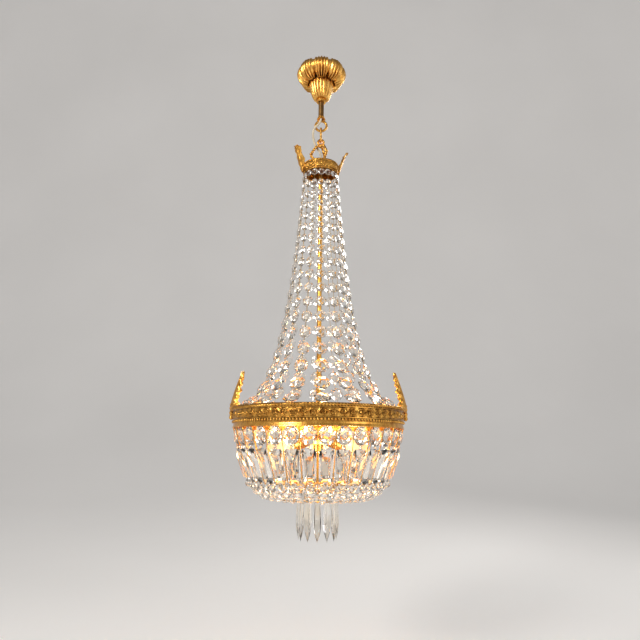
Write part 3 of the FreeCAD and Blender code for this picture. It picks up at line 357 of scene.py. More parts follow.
def white_plastic():
    smooth_finish("white_plastic", deep=(0.72, 0.71, 0.68), bright=(0.82, 0.81, 0.78), rough=(0.35, 0.5),
                  scale=90)


def ivory_sheath():
    smooth_finish("ivory_sheath", deep=(0.64, 0.54, 0.37), bright=(0.78, 0.69, 0.52), rough=(0.38, 0.55),
                  scale=300)


# ---------------- making pieces

def add(name, vertices, faces, look, body, stands_for, sharp=35):
    """A new piece from millimetre points, riding a body and standing for CAD nodes.

    Edges that bend by more than sharp degrees stay crisp, and with sharp 0 every face is flat.
    """
    mesh = bpy.data.meshes.new(name)
    mesh.from_pydata((np.asarray(vertices, float) * MM).tolist(), [], faces)
    mesh.validate()
    mesh.polygons.foreach_set("use_smooth", [sharp > 0] * len(mesh.polygons))
    if sharp > 0:
        mesh.set_sharp_from_angle(angle=math.radians(sharp))
    mesh.materials.append(looks[look])
    piece = bpy.data.objects.new(name, mesh)
    bpy.context.scene.collection.objects.link(piece)
    if body:
        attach(piece, body)
    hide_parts(*stands_for)
    return piece


def grid_faces(rows, columns, wrap_rows=False, wrap_columns=False):
    """Four-sided faces between points that are listed row by row."""
    faces = []
    for row in range(rows if wrap_rows else rows - 1):
        below = (row + 1) % rows
        for column in range(columns if wrap_columns else columns - 1):
            beside = (column + 1) % columns
            faces.append((row * columns + column, row * columns + beside,
                          below * columns + beside, below * columns + column))
    return faces


def smooth_line(points, count):
    """Points spaced along a Catmull-Rom curve through the given ones."""
    points = np.asarray(points, float)
    padded = np.vstack([2 * points[0] - points[1], points, 2 * points[-1] - points[-2]])
    line = []
    for step in np.linspace(0, len(points) - 1, count):
        index = min(int(step), len(points) - 2)
        share = step - index
        first, second, third, fourth = padded[index:index + 4]
        line.append(0.5 * (2 * second + (third - first) * share
                           + (2 * first - 5 * second + 4 * third - fourth) * share ** 2
                           + (3 * second - first - 3 * third + fourth) * share ** 3))
    return np.array(line)


def turned(profile, segments=72):
    """Vertices and faces of a closed profile of (radius, height) points turned about the axis."""
    angles = np.linspace(0, 2 * math.pi, segments, endpoint=False)
    vertices = []
    for radius, height in profile:
        for angle in angles:
            vertices.append((radius * math.cos(angle), radius * math.sin(angle), height))
    return np.array(vertices), grid_faces(len(profile), segments, wrap_rows=True, wrap_columns=True)


def unit(vector):
    return vector / np.linalg.norm(vector)


def carried(centre, axis_x, axis_y, axis_z, vertices):
    """Vertices from a local frame into the chandelier's."""
    return np.asarray(centre) + np.asarray(vertices) @ np.array([axis_x, axis_y, axis_z])


def about_z(vertices, degrees):
    """Vertices turned about the axis, anticlockwise from above."""
    angle = math.radians(degrees)
    out = [math.cos(angle), math.sin(angle), 0]
    across = [-math.sin(angle), math.cos(angle), 0]
    return np.asarray(vertices) @ np.array([out, across, [0, 0, 1]])


def joined(parts):
    """Several (vertices, faces) pairs as one."""
    vertices = []
    faces = []
    offset = 0
    for points, sides in parts:
        vertices.append(np.asarray(points, float))
        faces += [tuple(index + offset for index in side) for side in sides]
        offset += len(points)
    return np.vstack(vertices), faces


def swept(line, radii, segments):
    """A round rod along a line, with a radius at each point and closed ends."""
    line = np.asarray(line, float)
    tangents = np.gradient(line, axis=0)
    tangents /= np.linalg.norm(tangents, axis=1)[:, None]
    across = np.cross(tangents[0], (0.3, 1, 0.2))
    rings = []
    for place, tangent, radius in zip(line, tangents, radii):
        across = unit(across - tangent * (across @ tangent))
        other = np.cross(tangent, across)
        for step in range(segments):
            angle = 2 * math.pi * step / segments
            rings.append(place + radius * (math.cos(angle) * across + math.sin(angle) * other))
    faces = grid_faces(len(line), segments, wrap_columns=True)
    last = (len(line) - 1) * segments
    faces.append(tuple(range(segments)))
    faces.append(tuple(last + step for step in reversed(range(segments))))
    return np.array(rings), faces


def ring(major, minor, level, count, segments, strands=0, twist=0, groove=0):
    """A level ring of round wire. With strands it is twisted like a rope, with grooves between them."""
    vertices = []
    for step in range(count):
        angle = 2 * math.pi * step / count
        for part in range(segments):
            around = 2 * math.pi * part / segments
            depth = 1.0
            if strands:
                depth = 1 - groove * (1 - abs(math.cos(strands * around / 2 + twist * angle / 2)))
            reach = major + minor * depth * math.cos(around)
            vertices.append((reach * math.cos(angle), reach * math.sin(angle),
                             level + minor * depth * math.sin(around)))
    return np.array(vertices), grid_faces(count, segments, wrap_rows=True, wrap_columns=True)


def ball(radius, centre, segments):
    """A small sphere with its poles up and down."""
    vertices = [(centre[0], centre[1], centre[2] + radius)]
    rows = segments // 2
    for row in range(1, rows):
        lean = math.pi * row / rows
        for step in range(segments):
            angle = 2 * math.pi * step / segments
            vertices.append((centre[0] + radius * math.sin(lean) * math.cos(angle),
                             centre[1] + radius * math.sin(lean) * math.sin(angle),
                             centre[2] + radius * math.cos(lean)))
    vertices.append((centre[0], centre[1], centre[2] - radius))
    last = len(vertices) - 1
    faces = [tuple(index + 1 for index in side) for side in grid_faces(rows - 1, segments, wrap_columns=True)]
    for step in range(segments):
        beside = (step + 1) % segments
        faces.append((0, 1 + step, 1 + beside))
        faces.append((last, last - segments + beside, last - segments + step))
    return np.array(vertices), faces


def bead_row(count, radius, major, level, segments):
    """A row of small balls round the axis."""
    beads = []
    for step in range(count):
        angle = 2 * math.pi * step / count
        beads.append(ball(radius, (major * math.cos(angle), major * math.sin(angle), level), segments))
    return beads


# ---------------- where the CAD solids are

def levels(name):
    """The lowest and highest level of a CAD node in millimetres, to a tenth."""
    low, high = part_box(name)
    return round(low[2] / MM, 1), round(high[2] / MM, 1)


def islands(name):
    """The separate solids of a CAD node, each as the corners of its mesh in millimetres."""
    mesh = frame["nodes"][name].data
    places = np.zeros(len(mesh.vertices) * 3)
    mesh.vertices.foreach_get("co", places)
    places = np.round(places.reshape(-1, 3) / MM, 3)
    points, merged = np.unique(places, axis=0, return_inverse=True)
    ends = np.zeros(len(mesh.edges) * 2, int)
    mesh.edges.foreach_get("vertices", ends)
    ends = merged.reshape(-1)[ends].reshape(-1, 2)
    labels = np.arange(len(points))
    while True:
        lowest = np.minimum(labels[ends[:, 0]], labels[ends[:, 1]])
        before = labels.copy()
        np.minimum.at(labels, ends[:, 0], lowest)
        np.minimum.at(labels, ends[:, 1], lowest)
        labels = labels[labels]
        if (labels == before).all():
            break
    return [points[labels == label] for label in np.unique(labels)]


def plate_frame(corners):
    """Centre, the three axes (across, along, facing) and half sizes of a plate-like crystal."""
    middle = (corners.min(0) + corners.max(0)) / 2
    spread = corners - corners.mean(0)
    facing = np.linalg.eigh(spread.T @ spread)[1][:, 0]
    across = unit(np.array([-middle[1], middle[0], 0]))
    facing = unit(facing - across * (facing @ across))
    if facing @ middle < 0:
        facing = -facing
    along = np.cross(facing, across)
    if along[2] < 0:
        along = -along
        across = -across
    local = corners @ np.array([across, along, facing]).T
    low, high = local.min(0), local.max(0)
    centre = (low + high) / 2 @ np.array([across, along, facing])
    return centre, (across, along, facing), (high - low) / 2


def dressed(name, template):
    """One piece made of a cut template set on every plate crystal of a CAD node."""
    vertices, faces = template
    parts = []
    for corners in islands(name):
        centre, axes, half = plate_frame(corners)
        parts.append((carried(centre, *axes, np.asarray(vertices) * half), faces))
    points, sides = joined(parts)
    add(f"{name}_cut", points, sides, "cut_crystal", "frame", [name], sharp=0)


# ---------------- crystal templates

def star_cut(table=0.46, star=0.72, girdle=0.14):
    """An octagon bead inside a unit box: a table on each face inside a ring of star facets."""
    sides, star_height = 8, 0.66
    full = 1 / math.cos(math.pi / sides)
    vertices, faces = [], []

    def circle(radius, height, shift):
        start = len(vertices)
        for step in range(sides):
            angle = 2 * math.pi * (step + shift) / sides
            vertices.append((radius * math.cos(angle), radius * math.sin(angle), height))
        return start

    outer = circle(full, girdle, 0.5)
    inner = circle(full, -girdle, 0.5)
    for step in range(sides):
        beside = (step + 1) % sides
        faces.append((inner + step, inner + beside, outer + beside, outer + step))
    for edge, side in ((outer, 1), (inner, -1)):
        points = circle(star, side * star_height, 1.0)
        top = circle(table, side, 0.5)
        facets = []
        for step in range(sides):
            beside = (step + 1) % sides
            facets.append((edge + step, edge + beside, points + step))
            facets.append((points + step, edge + beside, points + beside))
            facets.append((top + beside, points + step, points + beside))
            facets.append((top + step, points + step, top + beside))
        facets.append(tuple(top + step for step in range(sides)))
        faces += facets if side > 0 else [tuple(reversed(facet)) for facet in facets]
    return vertices, faces


def coffin_cut():
    """A long prism with square shoulders: a table with bevels down both sides and a V cut at its top."""
    outline = [(-0.74, 1.0), (0.74, 1.0), (1.0, 0.86), (0.84, -0.88), (0.56, -1.0), (-0.56, -1.0),
               (-0.84, -0.88), (-1.0, 0.86)]
    table = [(0.0, 0.20), (0.54, 0.62), (0.40, -0.72), (-0.40, -0.72), (-0.54, 0.62)]
    girdle = 0.16
    sides = len(outline)
    vertices = [(x, y, girdle) for x, y in outline] + [(x, y, -girdle) for x, y in outline]
    faces = []
    for step in range(sides):
        beside = (step + 1) % sides
        faces.append((sides + beside, sides + step, step, beside))
    for offset, side in ((0, 1), (sides, -1)):
        start = len(vertices)
        vertices += [(x, y, side) for x, y in table]
        tip, right, foot_right, foot_left, left = range(start, len(vertices))
        corner = range(offset, offset + sides)
        facets = [
            (corner[0], tip, corner[1]),
            (corner[1], tip, right),
            (corner[1], right, corner[2]),
            (corner[2], right, foot_right, corner[3]),
            (corner[3], foot_right, corner[4]),
            (corner[4], foot_right, foot_left, corner[5]),
            (corner[5], foot_left, corner[6]),
            (corner[6], foot_left, left, corner[7]),
            (corner[7], left, corner[0]),
            (corner[0], left, tip),
            (tip, left, foot_left, foot_right, right),
        ]
        faces += facets if side > 0 else [tuple(reversed(facet)) for facet in facets]
    return vertices, faces


def spear_cut(top, long, wide, thick, widest):
    """A hanging spear: a small head, a waist, long facets that widen downwards and a faceted point.

    Each row of corners has its drop, its share of the full size and its turn in shares of a side.
    """
    sides = 8
    broad, deep = [size / 2 / math.cos(math.pi / sides) for size in (wide, thick)]
    rows = [(0, 0.30, 0), (-2.5, 0.42, 0.5), (-6, 0.36, 0), (-16, 0.66, 0.5), (-28, 0.80, 0),
            (-widest, 1.0, 0), (-widest - 0.45 * (long - widest), 0.72, 0.5)]
    vertices, faces = [], []
    for drop, share, turn in rows:
        for step in range(sides):
            angle = 2 * math.pi / sides * (step + 0.5 + turn)
            vertices.append((share * deep * math.cos(angle), share * broad * math.sin(angle), top + drop))
    for row in range(len(rows) - 1):
        upper, lower = row * sides, (row + 1) * sides
        turn_back = rows[row][2] - rows[row + 1][2]
        for step in range(sides):
            beside = (step + 1) % sides
            if turn_back == 0:
                faces.append((upper + step, lower + step, lower + beside, upper + beside))
            elif turn_back > 0:
                faces.append((upper + step, lower + step, lower + beside))
                faces.append((upper + step, lower + beside, upper + beside))
            else:
                faces.append((upper + beside, lower + step, lower + beside))
                faces.append((upper + step, lower + step, upper + beside))
    tip = len(vertices)
    last = tip - sides
    vertices.append((0, 0, top - long))
    faces.append(tuple(range(sides)))
    for step in range(sides):
        faces.append((last + step, tip, last + (step + 1) % sides))
    return vertices, faces


# ---------------- leaves and relief

def outward_line(spine, rows):
    """Points along a (radius, height) spine, and the direction square to it at each."""
    line = smooth_line(spine, rows)
    tangent = np.gradient(line, axis=0)
    tangent /= np.linalg.norm(tangent, axis=1)[:, None]
    return line, np.stack([tangent[:, 1], -tangent[:, 0]], axis=1)


def acanthus(spine, outline, thick, fold, lobes=4, notch=0.28):
    """A closed leaf on a (radius, height) spine at azimuth 0, folded about its own upright line.

    The outline gives half its width at shares of its height. The leaf has lobed, toothed edges,
    a midrib and side veins that run up and out to the lobes.
    """
    rows, columns = 84, 29
    rib_high, rib_wide, vein_high, edge_rise = 0.06, 0.12, 0.026, 0.05
    line, outward = outward_line(spine, rows)
    foot = spine[0][0] - fold
    share = np.linspace(0, 1, rows)
    lobe = 1 - notch * np.abs(np.cos(math.pi * lobes * share)) ** 3
    teeth = 1 - notch / 4 * np.abs(np.cos(math.pi * lobes * 3 * share)) ** 2
    half = np.interp(share, *zip(*outline))
    wide = 2 * half.max()
    half = half * lobe * teeth
    side = np.linspace(-1, 1, columns)
    front, back = [], []
    for row in range(rows):
        for column in range(columns):
            reach = side[column]
            rib = rib_high * wide * math.exp(-(reach / rib_wide) ** 2)
            vein = vein_high * wide * math.cos(2 * math.pi * (lobes * share[row] - 0.8 * abs(reach)) * 2)
            lift = rib + vein * abs(reach) ** 0.5
            height = line[row, 1] + outward[row, 1] * lift + edge_rise * wide * abs(reach) * lobe[row]
            across = reach * half[row]
            for sheet, depth in ((front, lift), (back, lift - thick)):
                turned_radius = max(line[row, 0] + outward[row, 0] * depth - foot, abs(across) * 1.05)
                sheet.append((foot + math.sqrt(turned_radius ** 2 - across ** 2), across,
                              height + outward[row, 1] * (depth - lift)))
    faces = grid_faces(rows, columns)
    offset = rows * columns
    faces += [tuple(index + offset for index in reversed(side)) for side in grid_faces(rows, columns)]
    edge = list(range(columns))
    edge += [row * columns + columns - 1 for row in range(1, rows)]
    edge += [(rows - 1) * columns + column for column in reversed(range(columns - 1))]
    edge += [row * columns for row in reversed(range(1, rows - 1))]
    for here, there in zip(edge, edge[1:] + edge[:1]):
        faces.append((there, here, here + offset, there + offset))
    return np.array(front + back), faces


def scroll_relief(along, up, pitch, half):
    """Height from 0 to 1 of a running scroll of foliage with rosettes, over millimetre positions."""
    vine_wide, rosette_wide, scroll_wide, scroll_pitch = 1.1, 3.2, 7.5, 4.6
    petals, fronds = 6, 9
    phase = (along / pitch) % 1.0
    vine = np.exp(-((up - 0.55 * half * np.sin(2 * math.pi * phase)) / vine_wide) ** 2)
    height = 0.8 * vine
    for centre, side in ((0.25, -1), (0.75, 1)):
        step = ((phase - centre + 0.5) % 1.0 - 0.5) * pitch
        rise = up - 0.12 * side * half
        distance = np.hypot(step, rise)
        angle = np.arctan2(rise, step) * side
        petal = 0.72 + 0.28 * np.cos(petals * angle)
        rosette = np.clip(1.25 - distance / rosette_wide, 0, 1) ** 0.6 * petal
        reach = np.clip(1.5 - distance / scroll_wide, 0, 1)
        scroll = np.clip(np.cos(angle - 2 * math.pi * distance / scroll_pitch), 0, 1) ** 0.8 * reach
        frond = np.clip(np.cos(fronds * angle + 1.2 * distance), 0, 1) * reach * 0.7
        height = np.maximum(height, np.maximum(rosette, np.maximum(scroll * 0.85, frond)))
    return np.clip(height, 0, 1)


def relief_ring(outer, wall, foot, high, pitches, zone, depth, columns, profile):
    """A band whose outer face has a scroll frieze between the two heights in zone.

    The profile gives what the face stands out beyond the outer radius at heights above the foot.
    """
    inner = outer - wall
    heights, proud = zip(*profile)
    rises = np.unique(np.concatenate([np.linspace(*zone, 30), heights]))
    angles = np.linspace(0, 2 * math.pi, columns, endpoint=False)
    middle, half = (zone[0] + zone[1]) / 2, (zone[1] - zone[0]) / 2
    pitch = 2 * math.pi * outer / pitches
    rows = []
    for rise, extra in zip(rises, np.interp(rises, heights, proud)):
        mask = np.clip(half - abs(rise - middle), 0, 1)
        carved = depth * mask * scroll_relief(angles * outer, np.full(columns, rise - middle), pitch, half)
        rows.append((outer + extra + carved, rise))
    rows += [(inner, high), (inner, 0)]
    vertices = []
    for radius, rise in rows:
        level = np.full(columns, foot + rise)
        vertices.append(np.stack([radius * np.cos(angles), radius * np.sin(angles), level], axis=1))
    return np.vstack(vertices), grid_faces(len(rows), columns, wrap_rows=True, wrap_columns=True)


# ---------------- ceiling end

def canopy():
    """A fluted cup whose wall opens into a ruffled brim of eight puffed, veined leaves that curl back in."""
    spine = [(8.6, -87.9), (17.8, -84.8), (26.3, -58), (27.4, -35), (36.6, -12.4), (47.6, -10.6), (53.8, -20),
             (51.6, -32.5), (44.0, -42.6), (31.5, -46.6)]
    rows, leaves, columns, flutes = 110, 8, 52, 18
    wall_thick = 1.2
    cup_end, brim_start = 0.36, 0.62          # shares of the spine
    flute_deep, vein_deep, rib_deep, ruffle_deep = 2.2, 1.2, 0.72, 2.6
    line, outward = outward_line(spine, rows)
    spread = 180 / leaves
    parts = []
    for leaf in range(leaves):
        vertices = []
        for share, place, out in zip(np.linspace(0, 1, rows), line, outward):
            past_cup = max(0.0, share - cup_end)
            past = max(0.0, (share - brim_start) / (1 - brim_start))
            narrow = 1 - 0.02 * past - 0.20 * past ** 6
            flute_share = min(1, share / 0.10) * max(0.0, 1 - past_cup / 0.12)
            vein_share = min(1.0, past_cup / 0.16)
            for column in range(columns):
                reach = 2 * column / (columns - 1) - 1
                angle = math.radians((leaf * 2 + reach * narrow) * spread)
                flute = flute_deep * (abs(math.sin(angle * flutes / 2)) ** 0.7 - 0.6) * flute_share
                vein = vein_deep * math.cos(math.pi * 6 * reach) + rib_deep * math.exp(-(reach / 0.12) ** 2)
                puff = 1.3 - 4.6 * abs(reach) ** 5
                ruffle = ruffle_deep * past ** 2 * math.cos(math.pi * 5 * reach)
                lift = flute - (vein + puff + ruffle) * vein_share
                radius, height = place + out * lift
                vertices.append((radius * math.cos(angle), radius * math.sin(angle), height))
        parts.append((np.array(vertices), grid_faces(rows, columns)))
    vertices, faces = joined(parts)
    piece = add("canopy_cup", vertices, faces, "gilt_pale", "canopy", ["canopy"], sharp=60)
    wall = piece.modifiers.new("wall", "SOLIDIFY")
    wall.thickness = wall_thick * MM
    wall.offset = 0


def stem_ferrule():
    """A turned ferrule with a fillet at its neck and a rolled mouth."""
    bore = 3.0
    foot, top = levels("stem_ferrule")
    profile = [(bore, foot), (9.2, foot), (10.0, foot + 0.6), (10.0, foot + 1.7), (9.0, foot + 2.3),
               (8.7, foot + 3.2), (7.7, foot + 5.0), (8.1, foot + 5.6), (8.1, foot + 6.5), (7.4, top),
               (bore, top)]
    vertices, faces = turned(profile)
    add("stem_ferrule_turned", vertices, faces, "gilt_brass", "ceiling_fixing", ["stem_ferrule"])


def yoke_apex():
    """The eye that the link carries, on a turned knob."""
    eye, wire = 4.0, 2.5
    foot, top = levels("yoke_apex")
    centre = top - eye - 2 * wire
    vertices, faces = ring(eye + wire, wire, 0, count=56, segments=18)
    upright = carried((0, 0, centre), (1, 0, 0), (0, 0, 1), (0, -1, 0), vertices)
    profile = [(0.4, foot + 7.8), (2.6, foot + 7.6), (3.2, foot + 6.6), (4.4, foot + 6.0), (5.2, foot + 4.6),
               (5.2, foot + 2.6), (4.4, foot + 1.2), (3.0, foot + 0.6), (2.2, foot), (0.4, foot)]
    vertices, faces = joined([(upright, faces), turned(profile, 40)])
    add("yoke_apex_turned", vertices, faces, "gilt_brass", "frame", ["yoke_apex"])


def yoke_arms():
    """Cast arms that slope out from the knob to a pointed elbow, then down to the plate, beaded all along."""
    points = [(5.6, 0, -208.5), (9.6, 0, -209.6), (14.2, 0, -215.2), (18.6, 0, -222.4), (21.9, 0, -229.4),
              (21.2, 0, -235.2), (17.0, 0, -239.8), (15.1, 0, -244.6), (15.0, 0, -251.8)]
    rings, beads = 150, 9
    thin, bead_high, elbow_high, end_radius = 2.2, 1.15, 0.9, 3.0
    line = smooth_line(points, rings)
    steps = np.linspace(0, 1, rings)
    radii = thin + bead_high * np.abs(np.sin(math.pi * beads * steps)) ** 0.8
    radii += elbow_high * np.exp(-((steps - 0.50) / 0.035) ** 2)
    radii = np.where((steps < 0.03) | (steps > 0.96), end_radius, radii)
    for name, azimuth in (("left", 185), ("front", -55), ("back", 65)):
        vertices, faces = swept(line, radii, 20)
        add(f"yoke_arm_{name}_cast", about_z(vertices, azimuth), faces, "gilt_brass", "frame",
            [f"yoke_arm_{name}"], sharp=50)


# ---------------- cable

def cord_line(name, points):
    """The points along an order 3 NURBS line with these control points, in metres."""
    curve = bpy.data.curves.new(name, "CURVE")
    curve.dimensions = "3D"
    curve.resolution_u = 24
    spline = curve.splines.new("NURBS")
    spline.points.add(len(points) - 1)
    for point, place in zip(spline.points, points):
        point.co = (place[0] * MM, place[1] * MM, place[2] * MM, 1)
    spline.order_u = 3
    spline.use_endpoint_u = True
    holder = bpy.data.objects.new(name, curve)
    bpy.context.scene.collection.objects.link(holder)
    bpy.context.view_layer.update()
    mesh = bpy.data.meshes.new_from_object(holder)
    line = [vertex.co.copy() for vertex in mesh.vertices]
    bpy.data.objects.remove(holder)
    bpy.data.curves.remove(curve)
    bpy.data.meshes.remove(mesh)
    return line


def cable(name, points):
    """One length of the loose ivory cable."""
    line = cord_line(f"{name}_line", points)
    radius = 2.5
    vertices, faces = swept([np.array(place) / MM for place in line], [radius] * len(line), 20)
    piece = add(f"{name}_sheath", vertices, faces, "ivory_sheath", None, [name])
    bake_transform(piece)


def cables():
    """The two lengths of the route in the CAD source. They meet beside the link."""
    meeting = (-17.1, 0.6, -189.33)
    upper = [(0, -5.55, -137.13), (0, -5.55, -151.13), (-21.5, -6, -170.63), meeting]
    lower = [meeting, (-13.1, 6.6, -206.33), (-2.5, 7, -216.7), (0, 0, -229.0), (0, 0, -238.2)]
    cable("cable_upper", upper)
    cable("cable_lower", lower)


# ---------------- crown

def crown_hoop():
    """A small hoop with beaded edges and a scroll frieze."""
    foot, top = levels("crown_hoop")
    high = round(top - foot, 1)
    profile = [(0, 0.6), (2.6, 0.7), (3.4, 0.1), (16.4, 0.1), (17.2, 0.7), (high, 0.6)]
    parts = [relief_ring(outer=37.8, wall=1.2, foot=foot, high=high, pitches=12, zone=(4.2, 15.6), depth=1.8,
                         columns=720, profile=profile)]
    for level in (top - 1.7, foot + 1.5):
        parts += bead_row(count=84, radius=1.25, major=39.0, level=level, segments=8)
    vertices, faces = joined(parts)
    add("crown_hoop_frieze", vertices, faces, "gilt_frieze", "frame", ["crown_hoop"],
        sharp=60)


def crown_leaves():
    """Two upright leaves that lean out from the crown, each with three bosses a side at its foot.

    Each blade is turned on its own foot as well, the left one by more.
    """
    base, high, reach = 41.3, 59, 23
    low = levels("crown_leaves")[0]
    spine = [(base, low + 0.5)]
    for out, up in ((0.09, 0.14), (0.40, 0.50), (0.74, 0.86), (0.90, 0.95), (0.98, 0.93)):
        spine.append((base + out * reach, low + up * high))
    outline = [(0, 4), (0.12, 6), (0.24, 11), (0.5, 12), (0.72, 9.4), (0.88, 5.4), (1, 1.2)]
    bosses = [(2.8, 5.6, 8, 0.4), (2.2, 7.6, 15.5, 2.4), (1.8, 3.4, 2.5, 0.2)]    # radius, across, up, out
    blade, sides = acanthus(spine, outline, thick=1.4, fold=14)
    knobs = []
    for side in (-1, 1):
        for radius, across, rise, out in bosses:
            knobs.append(ball(radius, (base + out, side * across, low + rise), 12))
    parts = []
    for azimuth, turn in ((11, 8), (191, 30)):
        turned_blade = about_z(blade - (base, 0, 0), turn) + (base, 0, 0)
        for points, faces in [(turned_blade, sides)] + knobs:
            parts.append((about_z(points, azimuth), faces))
    vertices, faces = joined(parts)
    add("crown_leaves_cast", vertices, faces, "gilt_brass", "frame", ["crown_leaves"], sharp=60)


# ---------------- curtain

def bead_strands():
    template = star_cut()
    for name in sorted(frame["nodes"]):
        if name.startswith("bead_strands_"):
            dressed(name, template)


def strand_pins():
    """Wire pins with a small loop at each end, through the edge of a bead."""
    wire, past_end = 0.42, 0.9
    loop, loop_faces = ring(1.15, 0.38, 0, count=12, segments=6)
    parts = []
    for corners in islands("strand_pins"):
        centre = corners.mean(0)
        spread = corners - centre
        along = np.linalg.eigh(spread.T @ spread)[1][:, 2]
        across = unit(np.array([-centre[1], centre[0], 0]))
        across = unit(across - along * (across @ along))
        facing = np.cross(across, along)
        half = np.abs(spread @ along).max()
        line = [centre + along * half * share for share in (-1, -0.5, 0.5, 1)]
        parts.append(swept(line, [wire] * len(line), 8))
        for side in (-1, 1):
            place = centre + side * along * (half + past_end)
            parts.append((carried(place, along, facing, across, loop), loop_faces))
    vertices, faces = joined(parts)
    add("strand_pins_wire", vertices, faces, "pin_wire", "frame", ["strand_pins"])


# ---------------- band

def lower_band():
    """The wide gilt band: rope edge, scroll frieze between fillets, bead line and a flared lip."""
    outer, trim_radius, rope_wire, columns = 174.3, 174.6, 3.6, 1440
    foot, top = levels("lower_band")
    high = top - foot
    profile = [(0, 1.9), (1.0, 1.8), (3.4, 0.4), (7.6, -0.6), (9.4, 0), (14.4, 0), (14.8, 1.2), (16.0, 1.2),
               (16.4, -0.4), (33.4, -0.4), (33.8, 1.2), (35.2, 1.2), (35.6, 0), (high, 0)]
    wall = relief_ring(outer=outer, wall=1.8, foot=foot, high=high, pitches=30, zone=(16.8, 33.0), depth=3.0,
                       columns=columns, profile=profile)
    rope = ring(trim_radius, rope_wire, top - rope_wire, count=columns, segments=14, strands=3, twist=180,
                groove=0.6)
    beads = bead_row(count=172, radius=2.9, major=trim_radius, level=foot + 12, segments=12)
    vertices, faces = joined([wall, rope] + beads)
    add("lower_band_frieze", vertices, faces, "gilt_frieze", "frame", ["lower_band"],
        sharp=60)


def band_leaves():
    """Two tall folded leaves that lean in over the strands, on four bosses and two studs each."""
    base, high, lean = 181.6, 96, 22
    low = levels("band_leaves")[1] - high
    spine = [(base, low + 1), (base - 0.3, low + 0.15 * high), (base - 0.06 * lean, low + 0.3 * high),
             (base - 0.48 * lean, low + 0.65 * high), (base - lean, low + high - 0.5)]
    outline = [(0, 5), (0.16, 8), (0.22, 24), (0.3, 24), (0.45, 20.5), (0.65, 15), (0.8, 10.3), (0.92, 6.6),
               (1, 2)]
    solids = [acanthus(spine, outline, thick=1.8, fold=26, lobes=5, notch=0.08)]
    for rise, out, radius in ((1, 180.6, 4.8), (10.6, 181.2, 4.2), (20, 181.8, 3.4), (27, 182.2, 2.6)):
        solids.append(ball(radius, (out, 0, low + rise), 16))
    for rise in (1, 10.6):
        solids.append(swept([(out, 0, low + rise) for out in (174.9, 177, 180)], [3.0] * 3, 16))
    parts = [(about_z(points, azimuth), sides) for azimuth in (0, 180) for points, sides in solids]
    vertices, faces = joined(parts)
    add("band_leaves_cast", vertices, faces, "gilt_brass", "frame", ["band_leaves"], sharp=60)


def seam_screw():
    """A domed screw head on the band's seam, facing the front."""
    seat = (0, -175.1, -822.8)
    profile = [(0.3, 0), (2.4, 0), (2.4, 0.9), (2.0, 1.7), (1.1, 2.3), (0.3, 2.5)]
    vertices, faces = turned(profile, 28)
    placed = carried(seat, (1, 0, 0), (0, 0, 1), (0, -1, 0), vertices)
    add("seam_screw_head", placed, faces, "gilt_brass", "frame", ["seam_screw"])


# ---------------- bowl

def bowl_octagons():
    dressed("bowl_octagons", star_cut(table=0.44, star=0.70, girdle=0.12))


def bowl_prisms():
    dressed("bowl_prisms", coffin_cut())


def bowl_festoons():
    dressed("bowl_festoons", star_cut(table=0.42))


def wire_hoops():
    """The strand ring, the gilt rope hoop at the prisms' feet and the lowest hoop."""
    step_long, twists_per_mm = 1.1, 1.1
    parts = []
    for corners in islands("wire_hoops"):
        low, high = corners.min(0), corners.max(0)
        wire = (high[2] - low[2]) / 2
        major = (high[0] - low[0]) / 2 - wire
        level = (high[2] + low[2]) / 2
        count = int(2 * math.pi * major / step_long)
        twist = int(major * twists_per_mm) * 2
        parts.append(ring(major, wire, level, count, segments=10, strands=3, twist=twist, groove=0.4))
    vertices, faces = joined(parts)
    add("wire_hoops_rope", vertices, faces, "gilt_brass", "frame", ["wire_hoops"], sharp=60)


# ---------------- lamps

def lamp_axes(azimuth):
    """Centre and axes of a lamp: local Z runs out along it."""
    angle, tilt = math.radians(azimuth), math.radians(LAMP_DROOP)
    out = np.array([math.cos(angle) * math.cos(tilt), math.sin(angle) * math.cos(tilt), -math.sin(tilt)])
    across = np.array([-math.sin(angle), math.cos(angle), 0])
    return np.array([0, 0, LAMP_LEVEL]), across, np.cross(out, across), out


def bulbs():
    """Three warm globes, each on a neck that goes into its holder."""
    globe_radius, globe_middle, tip, lowest_lean, rings = 22.5, 96, 0.3, 118, 14
    profile = [(tip, 39.3), (7.0, 39.3), (7.0, 64.4), (9.6, 65.0), (11.4, 69), (14.8, 76), (18.6, 82)]
    for step in range(rings):
        lean = math.radians(lowest_lean - lowest_lean * step / (rings - 1))
        profile.append((max(globe_radius * math.sin(lean), tip), globe_middle + 22.4 * math.cos(lean)))
    vertices, faces = turned(profile, 48)
    for index, azimuth in enumerate(LAMP_AZIMUTHS, 1):
        add(f"bulb_{index}_globe", carried(*lamp_axes(azimuth), vertices), faces, "lit_bulb",
            f"bulb_{index}_body", [f"bulb_{index}"], sharp=50)


def lampholders():
    """Three ribbed holders round the hub, with a rolled mouth."""
    bore, outside, groove, ribs, rib_pitch = 7.5, 13.5, 12.8, 8, 2.4
    profile = [(bore, 35), (bore, 64), (12.6, 64), (outside, 63.2), (outside, 61), (12.9, 60.4), (12.9, 57),
               (outside, 56.4)]
    for step in range(ribs):
        down = rib_pitch * step
        profile += [(outside, 55.6 - down), (groove, 54.9 - down), (groove, 54.1 - down)]
    profile += [(outside, 34), (12.2, 31), (9.0, 28.5), (6.0, 27.2), (1.0, 27.2), (1.0, 35)]
    holder, sides = turned(profile, 48)
    vertices, faces = joined([(carried(*lamp_axes(azimuth), holder), sides) for azimuth in LAMP_AZIMUTHS])
    add("lampholders_ribbed", vertices, faces, "lampholder_brass", "frame", ["lampholders"])


# ---------------- bottom

